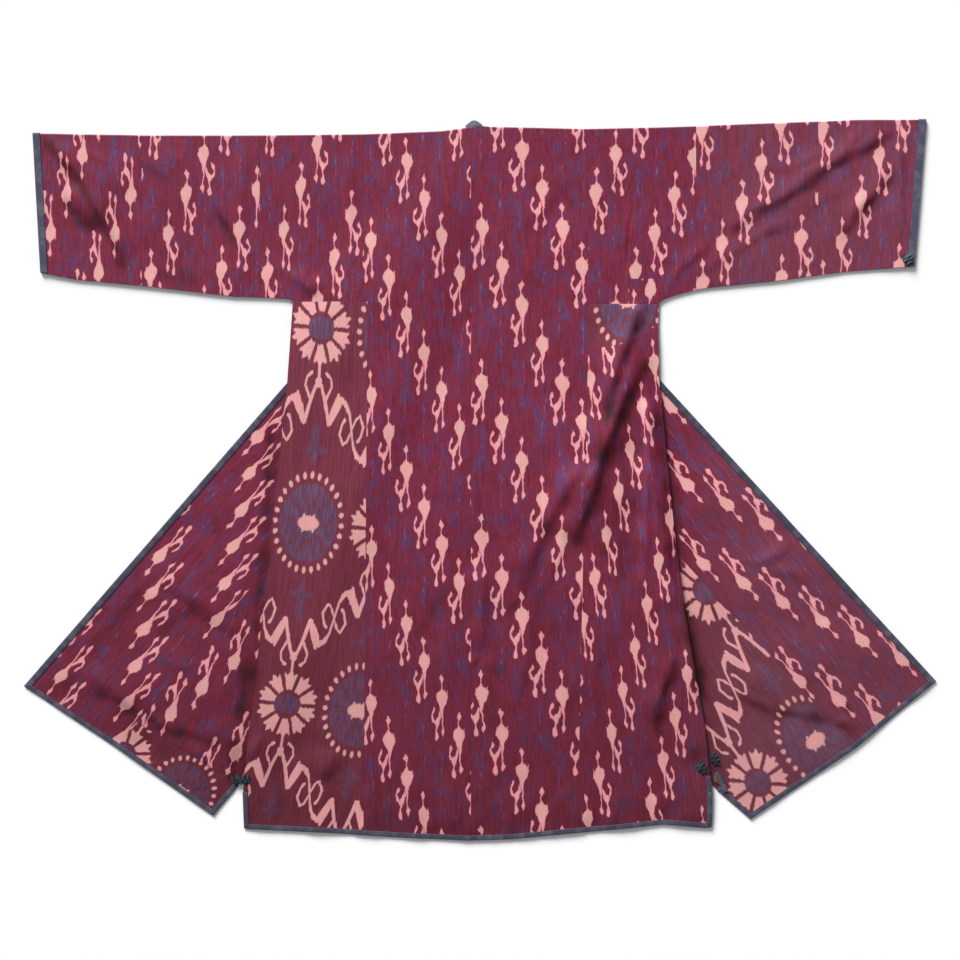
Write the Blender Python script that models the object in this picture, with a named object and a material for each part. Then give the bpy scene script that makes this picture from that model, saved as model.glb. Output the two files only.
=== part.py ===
"""An Uzbek ikat chapan laid flat, back up, with both front skirts folded out beside it.

The robe is cut from narrow loom widths. Two body widths run from the back hem over the
shoulders to the front hem, three widths make each sleeve, and gores widen the skirts.
Each cut piece is one wall of cloth. It is described layer by layer in plan, and a round
fold joins each layer to the next.

Sizes are in millimetres until the meshes are made. X runs along the sleeves, Y runs from
the hem to the shoulders, and the ground is Z = 0.
"""

import math
from typing import NamedTuple

import bmesh
import bpy
import numpy as np

MM = 0.001

CLOTH = 1.6  # an ikat face with its lining, quilted together
LAYER_GAP = 0.6  # between cloth that lies on cloth
SEAM_GAP = 0.3  # between pieces sewn edge to edge
TAPE = 1.0  # woven binding tape
TAPE_GAP = 0.3
FRONT_TAPE_WIDTH, HEM_TAPE_WIDTH, CUFF_TAPE_WIDTH = 10.0, 8.0, 13.0

LAYER = CLOTH + LAYER_GAP
TAPE_LIFT = TAPE_GAP + TAPE + 0.4  # how much a hidden tape lifts what lies on it
CUFF_LIFT = TAPE_GAP + TAPE

ROW_STEP, COLUMN_STEP, SLEEVE_STEP, GORE_STEP, GUSSET_STEP = 42.0, 33.0, 32.0, 52.0, 20.0
SKIRT_STEP = 120.0  # the skirts lie flat, so they need few rows
GORE_COLUMNS = np.linspace(0, 1, 7)
FOLD_STEPS = 4
RAMP = 90.0  # cloth settles from one height to the next over this distance
REACH = 8.0  # and is at its full height this far past what it covers
VENT_RAMP = 0.8 * RAMP  # it settles sooner past the head of a vent
CENTRE_RAMP = 120.0  # over which the back passes from the left front to the right one
CUFF_RAMP, CUFF_REACH = 60.0, 3.0  # the same for the tape under a cuff
FOLD_RAMP, FOLD_REACH = 60.0, 20.0  # over which a crease grows, and how far past its ends
FLAT_BY_CUFF = 40.0  # over which creases die out beside a cuff's tape
LOFT_GAP = 1.3 * SEAM_GAP  # between slanting edges, which pass closer than their corners

# The shoulder fold and the back hem, from left to right.
SHOULDER = np.array([  # x, y
    (-806, 621), (-608, 617.5), (-396, 617.5), (-210.6, 619.5), (-72, 624.7),
    (-30, 630), (-6, 635), (20, 632.6), (54, 631.7), (191, 629), (317, 631.3),
    (396, 634.4), (670, 644.7), (806, 645.8),
])  # fmt: skip
BACK_HEM = np.array([  # x, y
    (-425, -626.9), (-270, -634), (-151, -642), (-23, -647.8), (56, -645.5),
    (153, -636), (250, -627.3), (330, -618.8), (404, -625), (418, -623.5),
])  # fmt: skip

CENTRE_BACK_SEAM = -16.2
ARMHOLE_LEFT, ARMHOLE_RIGHT = 320.0, 316.0  # where the sleeves end and the gores begin
SLEEVE_SEAMS_LEFT = (-210.6, -396.0, -608.4)
SLEEVE_SEAMS_RIGHT = (194.4, 388.8, 608.4)
CUFF_LEFT = ((-804.6, 620.9), (-790.6, 372.4))  # the cloth's end: shoulder, underarm
CUFF_RIGHT = ((802.4, 645.7), (781.4, 383.6))
UNDERARM_LEFT = np.array([  # x, y
    (-790.6, 372.4), (-723.6, 359.6), (-607.5, 348.8), (-442.8, 329.5), (-396, 328),
    (-345, 325.4), (-334, ARMHOLE_LEFT), (-210.6, ARMHOLE_LEFT),
])  # fmt: skip
UNDERARM_RIGHT = np.array([  # x, y
    (194.4, ARMHOLE_RIGHT), (320, ARMHOLE_RIGHT), (331.2, 325), (345.6, 330), (360, 334.4),
    (389, 341.6), (410, 345.2), (539, 358.3), (659, 374.7), (760, 382.1), (781.4, 383.6),
])  # fmt: skip

# A small gusset is let into the back of the right sleeve, and a patch lies below it.
GUSSET_LEFT_X, GUSSET_RIGHT_X, GUSSET_TOP = 266.4, 331.2, 361.4
NOTCH_STEP, NOTCH_CLEAR = 0.2, 6.0  # between the close columns at its sides, and beside them
PATCH_FOOT = np.array([(194.4, 233.6), (252, 242.6), (320, 278)])  # x, y

NECK_TAPE = np.array([  # x, y
    (-26, 636.5), (-21, 641), (-15, 645.5), (-9, 646.5), (-3, 643.5), (4, 638.5),
])  # fmt: skip
VENT_LINING = (((421, -532), (428, -532), (434, -532)), ((421, -544), (428, -547), (434, -550)))
KNOT_HEIGHT = 4.0
KNOT_SLOPE = 9.0  # the left vent's knot comes down off the back's edge over this
HIDDEN_TAPE_END, VENT_TAPE_END = 120.0, 12.0  # from the neck, and from the head of the vent
SAME_POINT = 2.0  # corners of the tape's path that are closer than this are one
BACK_TAPE_LIFT = 0.2  # over the creases of the cloth that it binds

# The robe's sides, from the armhole down to the head of the vent.
SIDE_LEFT = ((-336.6, ARMHOLE_LEFT), (-346.5, 174.2), (-369, -36.5), (-387, -216.5),
             (-414, -432.5), (-428, -540.5))  # fmt: skip
SIDE_RIGHT = ((322.5, ARMHOLE_RIGHT), (318.6, 251.6), (322.2, 179.6), (338.4, 17.6),
              (349.9, -95.9), (370.8, -250.7), (404.3, -441.5), (417.6, -549.5))  # fmt: skip
BACK_VENT_LEFT = ((-425.7, -561.5), (-425, -580), (-424.3, -602), (-423.5, -626.9))
BACK_VENT_RIGHT = ((416.6, -561.5), (416.3, -579), (416, -601), (415.8, -623.3))
BACK_GORE_SEAM_LEFT = ((-202, ARMHOLE_LEFT), (-209.7, -637.8))
BACK_GORE_SEAM_RIGHT = ((194.4, ARMHOLE_RIGHT), (180, -396.5), (176.4, -633.8))


class Front(NamedTuple):
    """One front skirt as it lies: folded under along a line from the neck to the vent."""

    neck: tuple  # the opening edge meets the fold here
    vent: tuple  # the fold's other end, at the head of the side vent
    knee: tuple  # the opening edge bends here, where it leaves the robe's side
    corner: tuple  # opening edge and hem
    seam_fold: tuple  # the seam of the body width crosses the fold
    seam_foot: tuple  # and meets the hem
    vent_corner: tuple  # hem and vent


FRONT_LEFT = Front((-9, 590), (-428, -540.5), (-345.6, 174.2), (-818.9, -371.0),
                   (-210.6, 46.4), (-653.4, -481.1), (-480.6, -602.9))  # fmt: skip
FRONT_RIGHT = Front((1.8, 590), (417.6, -549.5), (322.2, 179.6), (819, -362.3),
                    (207.9, 25.8), (675, -482), (486.9, -608.9))  # fmt: skip
# The left front gore is pieced: its hem end is cut from another cloth.
# These are how far down its vent edge and its seam the join lies, from the fold.
PIECING_SHARES = (0.12, 0.917)


class Fold(NamedTuple):
    """A soft crease that stands up from the top layer."""

    start: tuple
    end: tuple
    half_width: float
    height: float


FOLDS = (
    Fold((-786, 612), (-622, 366), 17, 3.6),
    Fold((-770, 540), (-690, 372), 15, 2.6),
    Fold((-700, 600), (-560, 380), 19, 2.0),
    Fold((-342, 372), (-290, 330), 16, 3.4),
    Fold((745, 622), (488, 480), 18, 3.4),
    Fold((742, 565), (697, 490), 15, 2.4),
    Fold((315, 305), (245, 110), 18, 4.2),
    Fold((245, 110), (187, -95), 18, 3.8),
    Fold((186, 25), (128, -55), 16, 2.6),
    Fold((330, 140), (335, -10), 15, 3.6),
    Fold((5, -145), (2, -305), 15, 3.0),
    Fold((-283, -542), (-254, -484), 16, 2.6),
)


def between(start, end, share):
    """The point at this share of the way from start to end."""
    return tuple(a + (b - a) * share for a, b in zip(start, end))


def smooth(share):
    """Ease from 0 to 1 as share goes from 0 to 1."""
    share = np.clip(share, 0.0, 1.0)
    return share * share * (3.0 - 2.0 * share)


def side_of(plan, start, end, inward):
    """Distances of plan points from a line, positive towards the point inward."""
    start, end = np.asarray(start, float), np.asarray(end, float)
    along = (end - start) / np.linalg.norm(end - start)
    across = np.array([-along[1], along[0]])
    across *= np.sign((np.asarray(inward, float) - start) @ across)
    return (plan - start) @ across, (plan - start) @ along


def skirt_lift(plan, front):
    """Underside of cloth that lies on a folded-out skirt and on its edge tape."""
    upper, _ = side_of(plan, front.neck, front.knee, front.vent)
    lower, _ = side_of(plan, front.knee, front.corner, front.vent)
    inside = np.minimum(upper, lower)
    skirt = smooth((inside + REACH + RAMP) / RAMP)
    tape = skirt * (1 - smooth((inside - REACH - FRONT_TAPE_WIDTH) / RAMP))
    return LAYER * skirt + TAPE_LIFT * tape


def cuff_lift(plan):
    """How much the tape under each cuff lifts the sleeve."""
    lift = np.zeros(plan.shape[:-1])
    for cuff in (CUFF_LEFT, CUFF_RIGHT):
        inside, _ = side_of(plan, *cuff, inward=(0, 0))
        lift = lift + CUFF_LIFT * (1 - smooth((inside - CUFF_TAPE_WIDTH - CUFF_REACH) / CUFF_RAMP))
    return lift


def under_left(plan):
    """Underside of the left front where it isn't folded out, and of its sleeve."""
    return skirt_lift(plan, FRONT_LEFT) + cuff_lift(plan)


def under_right(plan):
    """The same on the right."""
    return skirt_lift(plan, FRONT_RIGHT) + cuff_lift(plan)


def fold_cover(plan, front):
    """1 where the back lies on a front, easing to 0 towards the middle and the hem."""
    inward, along = side_of(plan, front.neck, front.vent, (0, -600))
    length = math.dist(front.neck, front.vent)
    across = 1 - smooth((inward - REACH) / RAMP)
    return across * (1 - smooth((along - length - REACH) / VENT_RAMP))


def crease_height(plan):
    """Height of the soft folds in the top layer."""
    height = np.zeros(plan.shape[:-1])
    for fold in FOLDS:
        across, along = side_of(plan, fold.start, fold.end, (1e4, 0))
        length = math.dist(fold.start, fold.end)
        left = length - along
        taper = smooth((along + FOLD_REACH) / FOLD_RAMP) * smooth((left + FOLD_REACH) / FOLD_RAMP)
        height = height + fold.height * taper * np.exp(-((across / fold.half_width) ** 2))
    for cuff in (CUFF_LEFT, CUFF_RIGHT):
        inside, _ = side_of(plan, *cuff, inward=(0, 0))
        height = height * smooth((inside - 2 * CUFF_TAPE_WIDTH) / FLAT_BY_CUFF)
    return height


def back_rest(plan):
    """Underside of the top layer, without its creases."""
    right = smooth((plan[..., 0] - CENTRE_BACK_SEAM) / CENTRE_RAMP + 0.5)
    below = (1 - right) * skirt_lift(plan, FRONT_LEFT) + right * skirt_lift(plan, FRONT_RIGHT)
    bare = (1 - fold_cover(plan, FRONT_LEFT)) * (1 - fold_cover(plan, FRONT_RIGHT))
    return (below + LAYER) * (1 - bare) + cuff_lift(plan)


def over_back(plan):
    """Underside of the top layer."""
    return back_rest(plan) + crease_height(plan)


def ground(plan):
    """Underside of what lies on the ground."""
    return np.zeros(plan.shape[:-1])


def corner_shares(path):
    """How far along a path each of its points lies, from 0 to 1."""
    steps = np.linalg.norm(np.diff(path, axis=0), axis=1)
    return np.concatenate([[0.0], np.cumsum(steps)]) / steps.sum()


def along_path(path, shares):
    """Points on a path at the given shares of its length."""
    path = np.asarray(path, float)
    at = corner_shares(path)
    return np.stack([np.interp(shares, at, path[:, axis]) for axis in (0, 1)], axis=-1)


def inset(path_a, path_b, gap):
    """Two facing edge paths, each moved half a seam gap towards the other."""
    middle_a, middle_b = path_a.mean(axis=0), path_b.mean(axis=0)
    towards = (middle_b - middle_a) / np.linalg.norm(middle_b - middle_a)
    return path_a + towards * gap / 2, path_b - towards * gap / 2


def loft(edge_a, edge_b, row_step=ROW_STEP, column_step=COLUMN_STEP, columns=None):
    """Rows of plan points from one edge of a piece to the other, with a row at each corner."""
    edge_a, edge_b = np.asarray(edge_a, float), np.asarray(edge_b, float)
    corners = np.unique(np.round(np.concatenate([corner_shares(edge_a), corner_shares(edge_b)]), 4))
    length = max(np.linalg.norm(np.diff(e, axis=0), axis=1).sum() for e in (edge_a, edge_b))
    even = np.linspace(0, 1, max(2, round(length / row_step) + 1))
    spare = np.abs(even[:, None] - corners).min(axis=1) > 0.35 / len(even)
    shares = np.sort(np.concatenate([corners, even[spare]]))
    side_a, side_b = inset(along_path(edge_a, shares), along_path(edge_b, shares), LOFT_GAP)
    if columns is None:
        width = np.linalg.norm(side_b - side_a, axis=1).max()
        columns = np.linspace(0, 1, max(3, round(width / column_step) + 1))
    return side_a[:, None] * (1 - columns[:, None]) + side_b[:, None] * columns[:, None], shares


def meet(rows, shares, start=None, end=None):
    """Bend a loft's first row onto the curve start, and its last row onto the curve end."""
    rows = rows.copy()
    for curve, index, weight in ((start, 0, 1 - shares), (end, -1, shares)):
        if curve is not None:
            wanted = np.interp(rows[index, :, 0], curve[:, 0], curve[:, 1])
            rows[..., 1] += (wanted - rows[index, :, 1]) * weight[:, None]
    return rows


def turn(first, last, height_from, height_to, facing):
    """The round fold between two layers: its mid points and normals, from one row to another."""
    tangent = np.gradient(last, axis=0)
    bulge = np.stack([-tangent[:, 1], tangent[:, 0]], axis=1)
    bulge /= np.linalg.norm(bulge, axis=1)[:, None]
    bulge *= np.sign(((last - first) * bulge).sum(axis=1))[:, None]
    middle, radius = (height_from + height_to) / 2, (height_from - height_to) / 2
    points, normals = [], []
    for angle in np.linspace(0, math.pi, FOLD_STEPS + 1)[1:-1]:
        reach = np.abs(radius) * math.sin(angle)
        height = middle + radius * math.cos(angle)
        points.append(np.column_stack([last + bulge * reach[:, None], height]))
        up = np.full(len(last), math.cos(angle))
        normals.append(facing * np.column_stack([bulge * math.sin(angle), up]))
    return points, normals


def folded(layers, thickness=CLOTH):
    """Mid points and outward normals of one cut piece, from its (rows, underside) layers."""
    points, normals, facing = [], [], 1.0
    for rows, underside in layers:
        heights = underside(rows) + thickness / 2
        if points:
            bend, tilt = turn(rows_before[-2], rows_before[-1], height_before, heights[0], facing)
            points += bend
            normals += tilt
            facing = -facing
        for row, height in zip(rows, heights):
            points.append(np.column_stack([row, height]))
            normals.append(np.tile([0.0, 0.0, facing], (len(row), 1)))
        rows_before, height_before = rows, heights[-1]
    return np.array(points), np.array(normals)


def material(name, colour, roughness):
    """A plain cloth finish."""
    finish = bpy.data.materials.new(name)
    finish.use_nodes = True
    shader = finish.node_tree.nodes["Principled BSDF"]
    shader.inputs["Base Color"].default_value = (*colour, 1.0)
    shader.inputs["Roughness"].default_value = roughness
    shader.inputs["Metallic"].default_value = 0.0
    return finish


def solid(name, vertices, faces, finish):
    """One closed, smooth-shaded object from points in millimetres."""
    mesh = bpy.data.meshes.new(name)
    mesh.from_pydata((np.asarray(vertices) * MM).tolist(), [], faces)
    body = bmesh.new()
    body.from_mesh(mesh)
    bmesh.ops.recalc_face_normals(body, faces=body.faces)
    body.to_mesh(mesh)
    body.free()
    mesh.shade_smooth()
    mesh.set_sharp_from_angle(angle=math.radians(35))
    mesh.materials.append(finish)
    obj = bpy.data.objects.new(name, mesh)
    bpy.context.scene.collection.objects.link(obj)
    return obj


def wall(name, points, normals, finish, thickness=CLOTH):
    """A wall of even thickness about a grid of mid points."""
    rows, columns = points.shape[:2]
    outer, inner = points + normals * thickness / 2, points - normals * thickness / 2
    vertices = np.concatenate([outer.reshape(-1, 3), inner.reshape(-1, 3)])
    index = np.arange(rows * columns).reshape(rows, columns)
    faces = []
    for i in range(rows - 1):
        for j in range(columns - 1):
            quad = [index[i, j], index[i, j + 1], index[i + 1, j + 1], index[i + 1, j]]
            faces += [quad, [k + index.size for k in reversed(quad)]]
    rim = [*index[0], *index[1:, -1], *index[-1, -2::-1], *index[-2:0:-1, 0]]
    for a, b in zip(rim, rim[1:] + rim[:1]):
        faces.append([a, a + index.size, b + index.size, b])
    return solid(name, vertices, faces, finish)


def piece(name, layers, finish):
    """One cut piece of the robe."""
    return wall(name, *folded(layers), finish)


def mitred(path, distances):
    """A path moved out by a distance for each of its stretches, with mitred corners."""
    path, distances = np.asarray(path, float), np.asarray(distances, float)
    steps = np.diff(path, axis=0)
    sides = np.stack([steps[:, 1], -steps[:, 0]], axis=1) / np.linalg.norm(steps, axis=1)[:, None]
    following = np.roll(path, -1, axis=0)
    sides *= np.sign((path[:, 0] * following[:, 1] - following[:, 0] * path[:, 1]).sum())
    moved = path.copy()
    for i in range(len(path)):
        first, last = max(i - 1, 0), min(i, len(sides) - 1)
        if abs(sides[first] @ sides[last]) > 0.999:
            moved[i] += sides[first] * distances[first]
        else:
            both = np.array([sides[first], sides[last]])
            moved[i] += np.linalg.solve(both, distances[[first, last]])
    return moved


def binding(name, path, widths, underside, finish):
    """Tape turned over a cloth edge: a flat strip on the cloth and a lip down its edge."""
    path = np.asarray(path, float)
    top = CLOTH + TAPE_GAP
    section = (  # how far out, in widths and in millimetres, and how high over the underside
        (-1, 0, top), (-1, 0, top + TAPE), (0, TAPE_GAP + TAPE, top + TAPE),
        (0, TAPE_GAP + TAPE, 0), (0, TAPE_GAP, 0), (0, TAPE_GAP, top),
    )  # fmt: skip
    rings = []
    widths = np.asarray(widths, float)
    for share, extra, up in section:
        plan = mitred(path, share * widths + extra)
        under = underside(plan if share else path)
        rings.append(np.column_stack([plan, under + up]))
    rings = np.stack(rings, axis=1)
    count, sides_round = rings.shape[:2]
    faces = [list(range(sides_round)), list(range((count - 1) * sides_round, count * sides_round))]
    for i in range(count - 1):
        for j in range(sides_round):
            k = (j + 1) % sides_round
            ring, following = i * sides_round, (i + 1) * sides_round
            faces.append([ring + j, ring + k, following + k, following + j])
    return solid(name, rings.reshape(-1, 3), faces, finish)


def dome(name, centre, half_sizes, height, underside, finish):
    """A knot of thread: a low oval mound on what lies below it."""
    around, rings = 12, (1.0, 0.75, 0.4)
    turns = np.linspace(0, 2 * math.pi, around, endpoint=False)
    oval = np.column_stack([np.cos(turns), np.sin(turns)]) * half_sizes
    centre = np.asarray(centre, float)
    vertices, faces = [], []
    for sign in (0.0, 1.0):
        for ring in rings:
            plan = centre + oval * ring
            rise = 0.35 + 0.65 * math.sqrt(1 - ring**2)
            vertices.append(np.column_stack([plan, underside(plan) + sign * height * rise]))
        tip = underside(centre) + sign * height
        vertices.append([[*centre, tip]])
    half = around * len(rings) + 1
    for base, first in ((0, 0), (half, half)):
        for r in range(len(rings) - 1):
            for j in range(around):
                k, ring = (j + 1) % around, first + r * around
                faces.append([ring + j, ring + k, ring + around + k, ring + around + j])
        last = first + (len(rings) - 1) * around
        faces += [[last + j, last + (j + 1) % around, base + half - 1] for j in range(around)]
    faces += [[j, (j + 1) % around, half + (j + 1) % around, half + j] for j in range(around)]
    return solid(name, np.concatenate(vertices), faces, finish)


def height_on(curve, x):
    """The point of a curve above or below x."""
    return (x, float(np.interp(x, curve[:, 0], curve[:, 1])))


def shoulder_at(x):
    """The point of the shoulder fold at x."""
    return height_on(SHOULDER, x)


def hem_at(x):
    """The point of the back hem at x."""
    return height_on(BACK_HEM, x)


def make_body(name, front, under, gore_seam, shoulder_seam, armhole, finish):
    """One body width: up the back, over the shoulder, down the front and out along the skirt."""
    foot = gore_seam[-1][0]
    edge = [hem_at(foot), *reversed(gore_seam[1:-1]), (gore_seam[0][0], armhole)]
    centre = [hem_at(CENTRE_BACK_SEAM), shoulder_at(CENTRE_BACK_SEAM)]
    back, shares = loft([*edge, (shoulder_seam, armhole + 1), shoulder_at(shoulder_seam)], centre)
    back = meet(back, shares, BACK_HEM, SHOULDER)
    columns = np.linspace(0, 1, back.shape[1])
    outer = [shoulder_at(shoulder_seam), (shoulder_seam, armhole), front.seam_fold]
    chest, shares = loft(outer, [shoulder_at(CENTRE_BACK_SEAM), front.neck], columns=columns)
    chest = meet(chest, shares, SHOULDER)
    chest[0] = back[-1]
    opening = [front.neck, front.knee, front.corner]
    skirt, _ = loft([front.seam_fold, front.seam_foot], opening, SKIRT_STEP, columns=columns)
    skirt[0] = chest[-1]
    piece(name, [(back, over_back), (chest, under), (skirt, ground)], finish)
    return back


def make_front_gore(name, front, under, side, armhole, seam_top, finish, piecing=None):
    """A front gore: down the robe's side, folded under, and out to the skirt's hem."""
    hip, _ = loft(side, [(seam_top, armhole), front.seam_fold], GORE_STEP, GORE_STEP)
    hip[0, :, 1] -= SEAM_GAP
    columns = np.linspace(0, 1, hip.shape[1])
    ends = (front.vent_corner, front.seam_foot) if piecing is None else piecing
    seam = [front.seam_fold, ends[1]]
    skirt, _ = loft([front.vent, ends[0]], seam, SKIRT_STEP, columns=columns)
    skirt[0] = hip[-1]
    piece(name, [(hip, under), (skirt, ground)], finish)


def make_back_gore(name, side, vent, gore_seam, top_curve, finish):
    """A back gore: from the armhole down to the hem, with the vent cut into its side."""
    outer = [*side[:-1], *vent]
    seam = [*gore_seam[:-1], hem_at(gore_seam[-1][0])]
    rows, shares = loft(outer, seam, columns=GORE_COLUMNS)
    rows = meet(rows, shares, top_curve, BACK_HEM)
    rows[0, :, 1] -= SEAM_GAP
    piece(name, [(rows, over_back)], finish)
    return rows


def make_sleeve(names, seams, cuff, underarm, finish, under):
    """The three widths of a sleeve, each folded over the shoulder and open at the underarm."""
    for order, name in enumerate(names):
        near_x = seams[order]
        near = [height_on(underarm, near_x), shoulder_at(near_x)]
        if order == len(names) - 1:
            far = [height_on(underarm, cuff[1][0]), shoulder_at(cuff[0][0])]
        else:
            far_x = seams[order + 1]
            far = [height_on(underarm, far_x), shoulder_at(far_x)]
        rows, shares = loft(near, far, SLEEVE_STEP, SLEEVE_STEP)
        rows = meet(rows, shares, underarm, SHOULDER)
        upper = notched(rows) if name == "sleeve_right_inner" else rows
        lower, shares = loft(near[::-1], far[::-1], ROW_STEP, columns=column_shares(upper))
        lower = meet(lower, shares, SHOULDER, underarm)
        lower[0] = upper[-1]
        piece(name, [(upper, over_back), (lower, under)], finish)
    return upper, lower


def column_shares(rows):
    """Where a grid's columns lie along its last row, from 0 to 1."""
    x = rows[-1, :, 0]
    return (x - x[0]) / (x[-1] - x[0])


def notched(rows):
    """The inner right sleeve with the corner for the gusset cut out of its lower rows."""
    half = SEAM_GAP / 2
    left, right = GUSSET_LEFT_X - half, GUSSET_RIGHT_X + half
    sides = np.array([left, left + NOTCH_STEP, right - NOTCH_STEP, right])
    spare = np.abs(rows[0, :, :1] - sides).min(axis=1) > NOTCH_CLEAR
    xs = np.sort(np.concatenate([rows[0, spare, 0], sides]))
    grid = np.stack([np.tile(xs, (len(rows), 1)), np.zeros((len(rows), len(xs)))], axis=-1)
    for row, line in enumerate(rows):
        grid[row, :, 1] = np.interp(xs, line[:, 0], line[:, 1])
    inside = (xs > left + NOTCH_STEP / 2) & (xs < right - NOTCH_STEP / 2)
    foot = np.where(inside, GUSSET_TOP + half, grid[0, :, 1])
    share = (grid[..., 1] - grid[0, :, 1]) / (grid[-1, :, 1] - grid[0, :, 1])
    grid[..., 1] = foot + share * (grid[-1, :, 1] - foot)
    return grid


def make_underarm(patch_finish, gusset_finish):
    """The gusset let into the right sleeve, and the patch between it and the right gore."""
    sides = [[height_on(UNDERARM_RIGHT, x), (x, GUSSET_TOP)] for x in (GUSSET_LEFT_X, GUSSET_RIGHT_X)]
    rows, shares = loft(*sides, GUSSET_STEP, GUSSET_STEP)
    rows = meet(rows, shares, UNDERARM_RIGHT)
    rows[-1, :, 1] -= SEAM_GAP / 2
    piece("underarm_gusset_right", [(rows, over_back)], gusset_finish)
    outer = [SIDE_RIGHT[0], tuple(PATCH_FOOT[-1])]
    inner = [(BACK_GORE_SEAM_RIGHT[0][0], ARMHOLE_RIGHT), tuple(PATCH_FOOT[0])]
    rows, shares = loft(outer, inner, columns=GORE_COLUMNS)
    rows = meet(rows, shares, None, PATCH_FOOT)
    rows[0, :, 1] -= SEAM_GAP
    rows[-1, :, 1] += SEAM_GAP
    piece("underarm_patch_right", [(rows, over_back)], patch_finish)


def make_cuff_tape(name, sleeve_end, under, finish):
    """Tape round a cuff, over the sleeve's last few centimetres of both its layers."""
    upper, lower = (rows[:, -1] for rows in sleeve_end)
    inward = np.sign(-upper[0, 0]) * np.array([CUFF_TAPE_WIDTH, 0.0])

    def strip(edge):
        return edge[:, None] + np.linspace(0, 1, 2)[:, None] * inward

    def over(plan):
        return back_rest(plan) + crease_height(plan) + CLOTH + TAPE_GAP

    def below(plan):
        return under(plan) - CUFF_LIFT

    wall(name, *folded([(strip(upper), over), (strip(lower), below)], TAPE), finish, TAPE)


def make_front_tape(name, front, finish):
    """The tape round a skirt: down the opening edge, along the hem and up to the vent."""
    start = between(front.neck, front.knee, HIDDEN_TAPE_END / math.dist(front.neck, front.knee))
    end = between(front.vent, front.vent_corner, VENT_TAPE_END / math.dist(front.vent, front.vent_corner))
    path = [start, front.knee, front.corner, front.seam_foot, front.vent_corner, end]
    widths = [FRONT_TAPE_WIDTH] * 2 + [HEM_TAPE_WIDTH] * 3
    binding(name, path, widths, ground, finish)


def back_edge(back_left, body_left, body_right, back_right):
    """The bound edge of the back: down the left vent, along the hem and up the right vent."""
    down, up = back_left[:, 0], back_right[::-1, 0]
    head = BACK_VENT_LEFT[0][1] + 1
    hem = [back_left[-1], body_left[0], body_right[0, ::-1], back_right[-1, ::-1]]
    path = np.vstack([down[down[:, 1] < head][:-1], *hem, up[up[:, 1] < head][1:]])
    far = np.concatenate([[True], np.linalg.norm(np.diff(path, axis=0), axis=1) > SAME_POINT])
    return path[far]


def make_knots(finish):
    """Thread wound and knotted over the heads of the vents, and at the right cuff."""
    on_skirt, on_tape = CLOTH + TAPE_GAP, CLOTH + TAPE_GAP + TAPE + TAPE_GAP
    on_back = 2 * LAYER + CLOTH + TAPE_GAP + 0.1
    side_x = FRONT_LEFT.vent[0]

    def astride(plan):
        """Down from the back's left edge to the skirt beside it."""
        past = side_x - HEM_TAPE_WIDTH / 4 - plan[..., 0]
        return on_back - (on_back - on_tape) * smooth(past / KNOT_SLOPE)

    def beside(plan):
        return np.full(plan.shape[:-1], on_skirt)

    def on_top(plan):
        return over_back(plan) + on_skirt

    def on_cuff(plan):
        return over_back(plan) + on_tape

    for name, centre, half_sizes, underside in (
        ("vent_knot_left", (-428, -541.5), (18, 9), astride),
        ("vent_knot_right", (400, -519), (11, 12.5), on_top),
        ("vent_knot_right_outer", (425.5, -503.5), (7, 11.5), beside),
        ("cuff_knot_right", (770.5, 396), (9, 9), on_cuff),
    ):
        dome(name, centre, half_sizes, KNOT_HEIGHT, underside, finish)


def make_neck_tape(finish):
    """The tape that binds the neck, where it stands above the shoulder fold at the nape."""
    past_fold = LAYER / 2 + CLOTH / 2 + TAPE_GAP
    x = NECK_TAPE[:, 0]
    foot = np.column_stack([x, np.interp(x, SHOULDER[:, 0], SHOULDER[:, 1]) + past_fold])
    rows = np.stack([foot, (foot + NECK_TAPE) / 2, NECK_TAPE])
    wall("neck_tape", *folded([(rows, over_back)]), finish)


def make_vent_lining(finish):
    """A corner of the brown lining that shows at the head of the right vent."""
    rows = np.array(VENT_LINING, float)
    wall("vent_lining_right", *folded([(rows, lambda plan: ground(plan) + CLOTH + TAPE_GAP)],
                                      TAPE), finish, TAPE)  # fmt: skip


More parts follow.
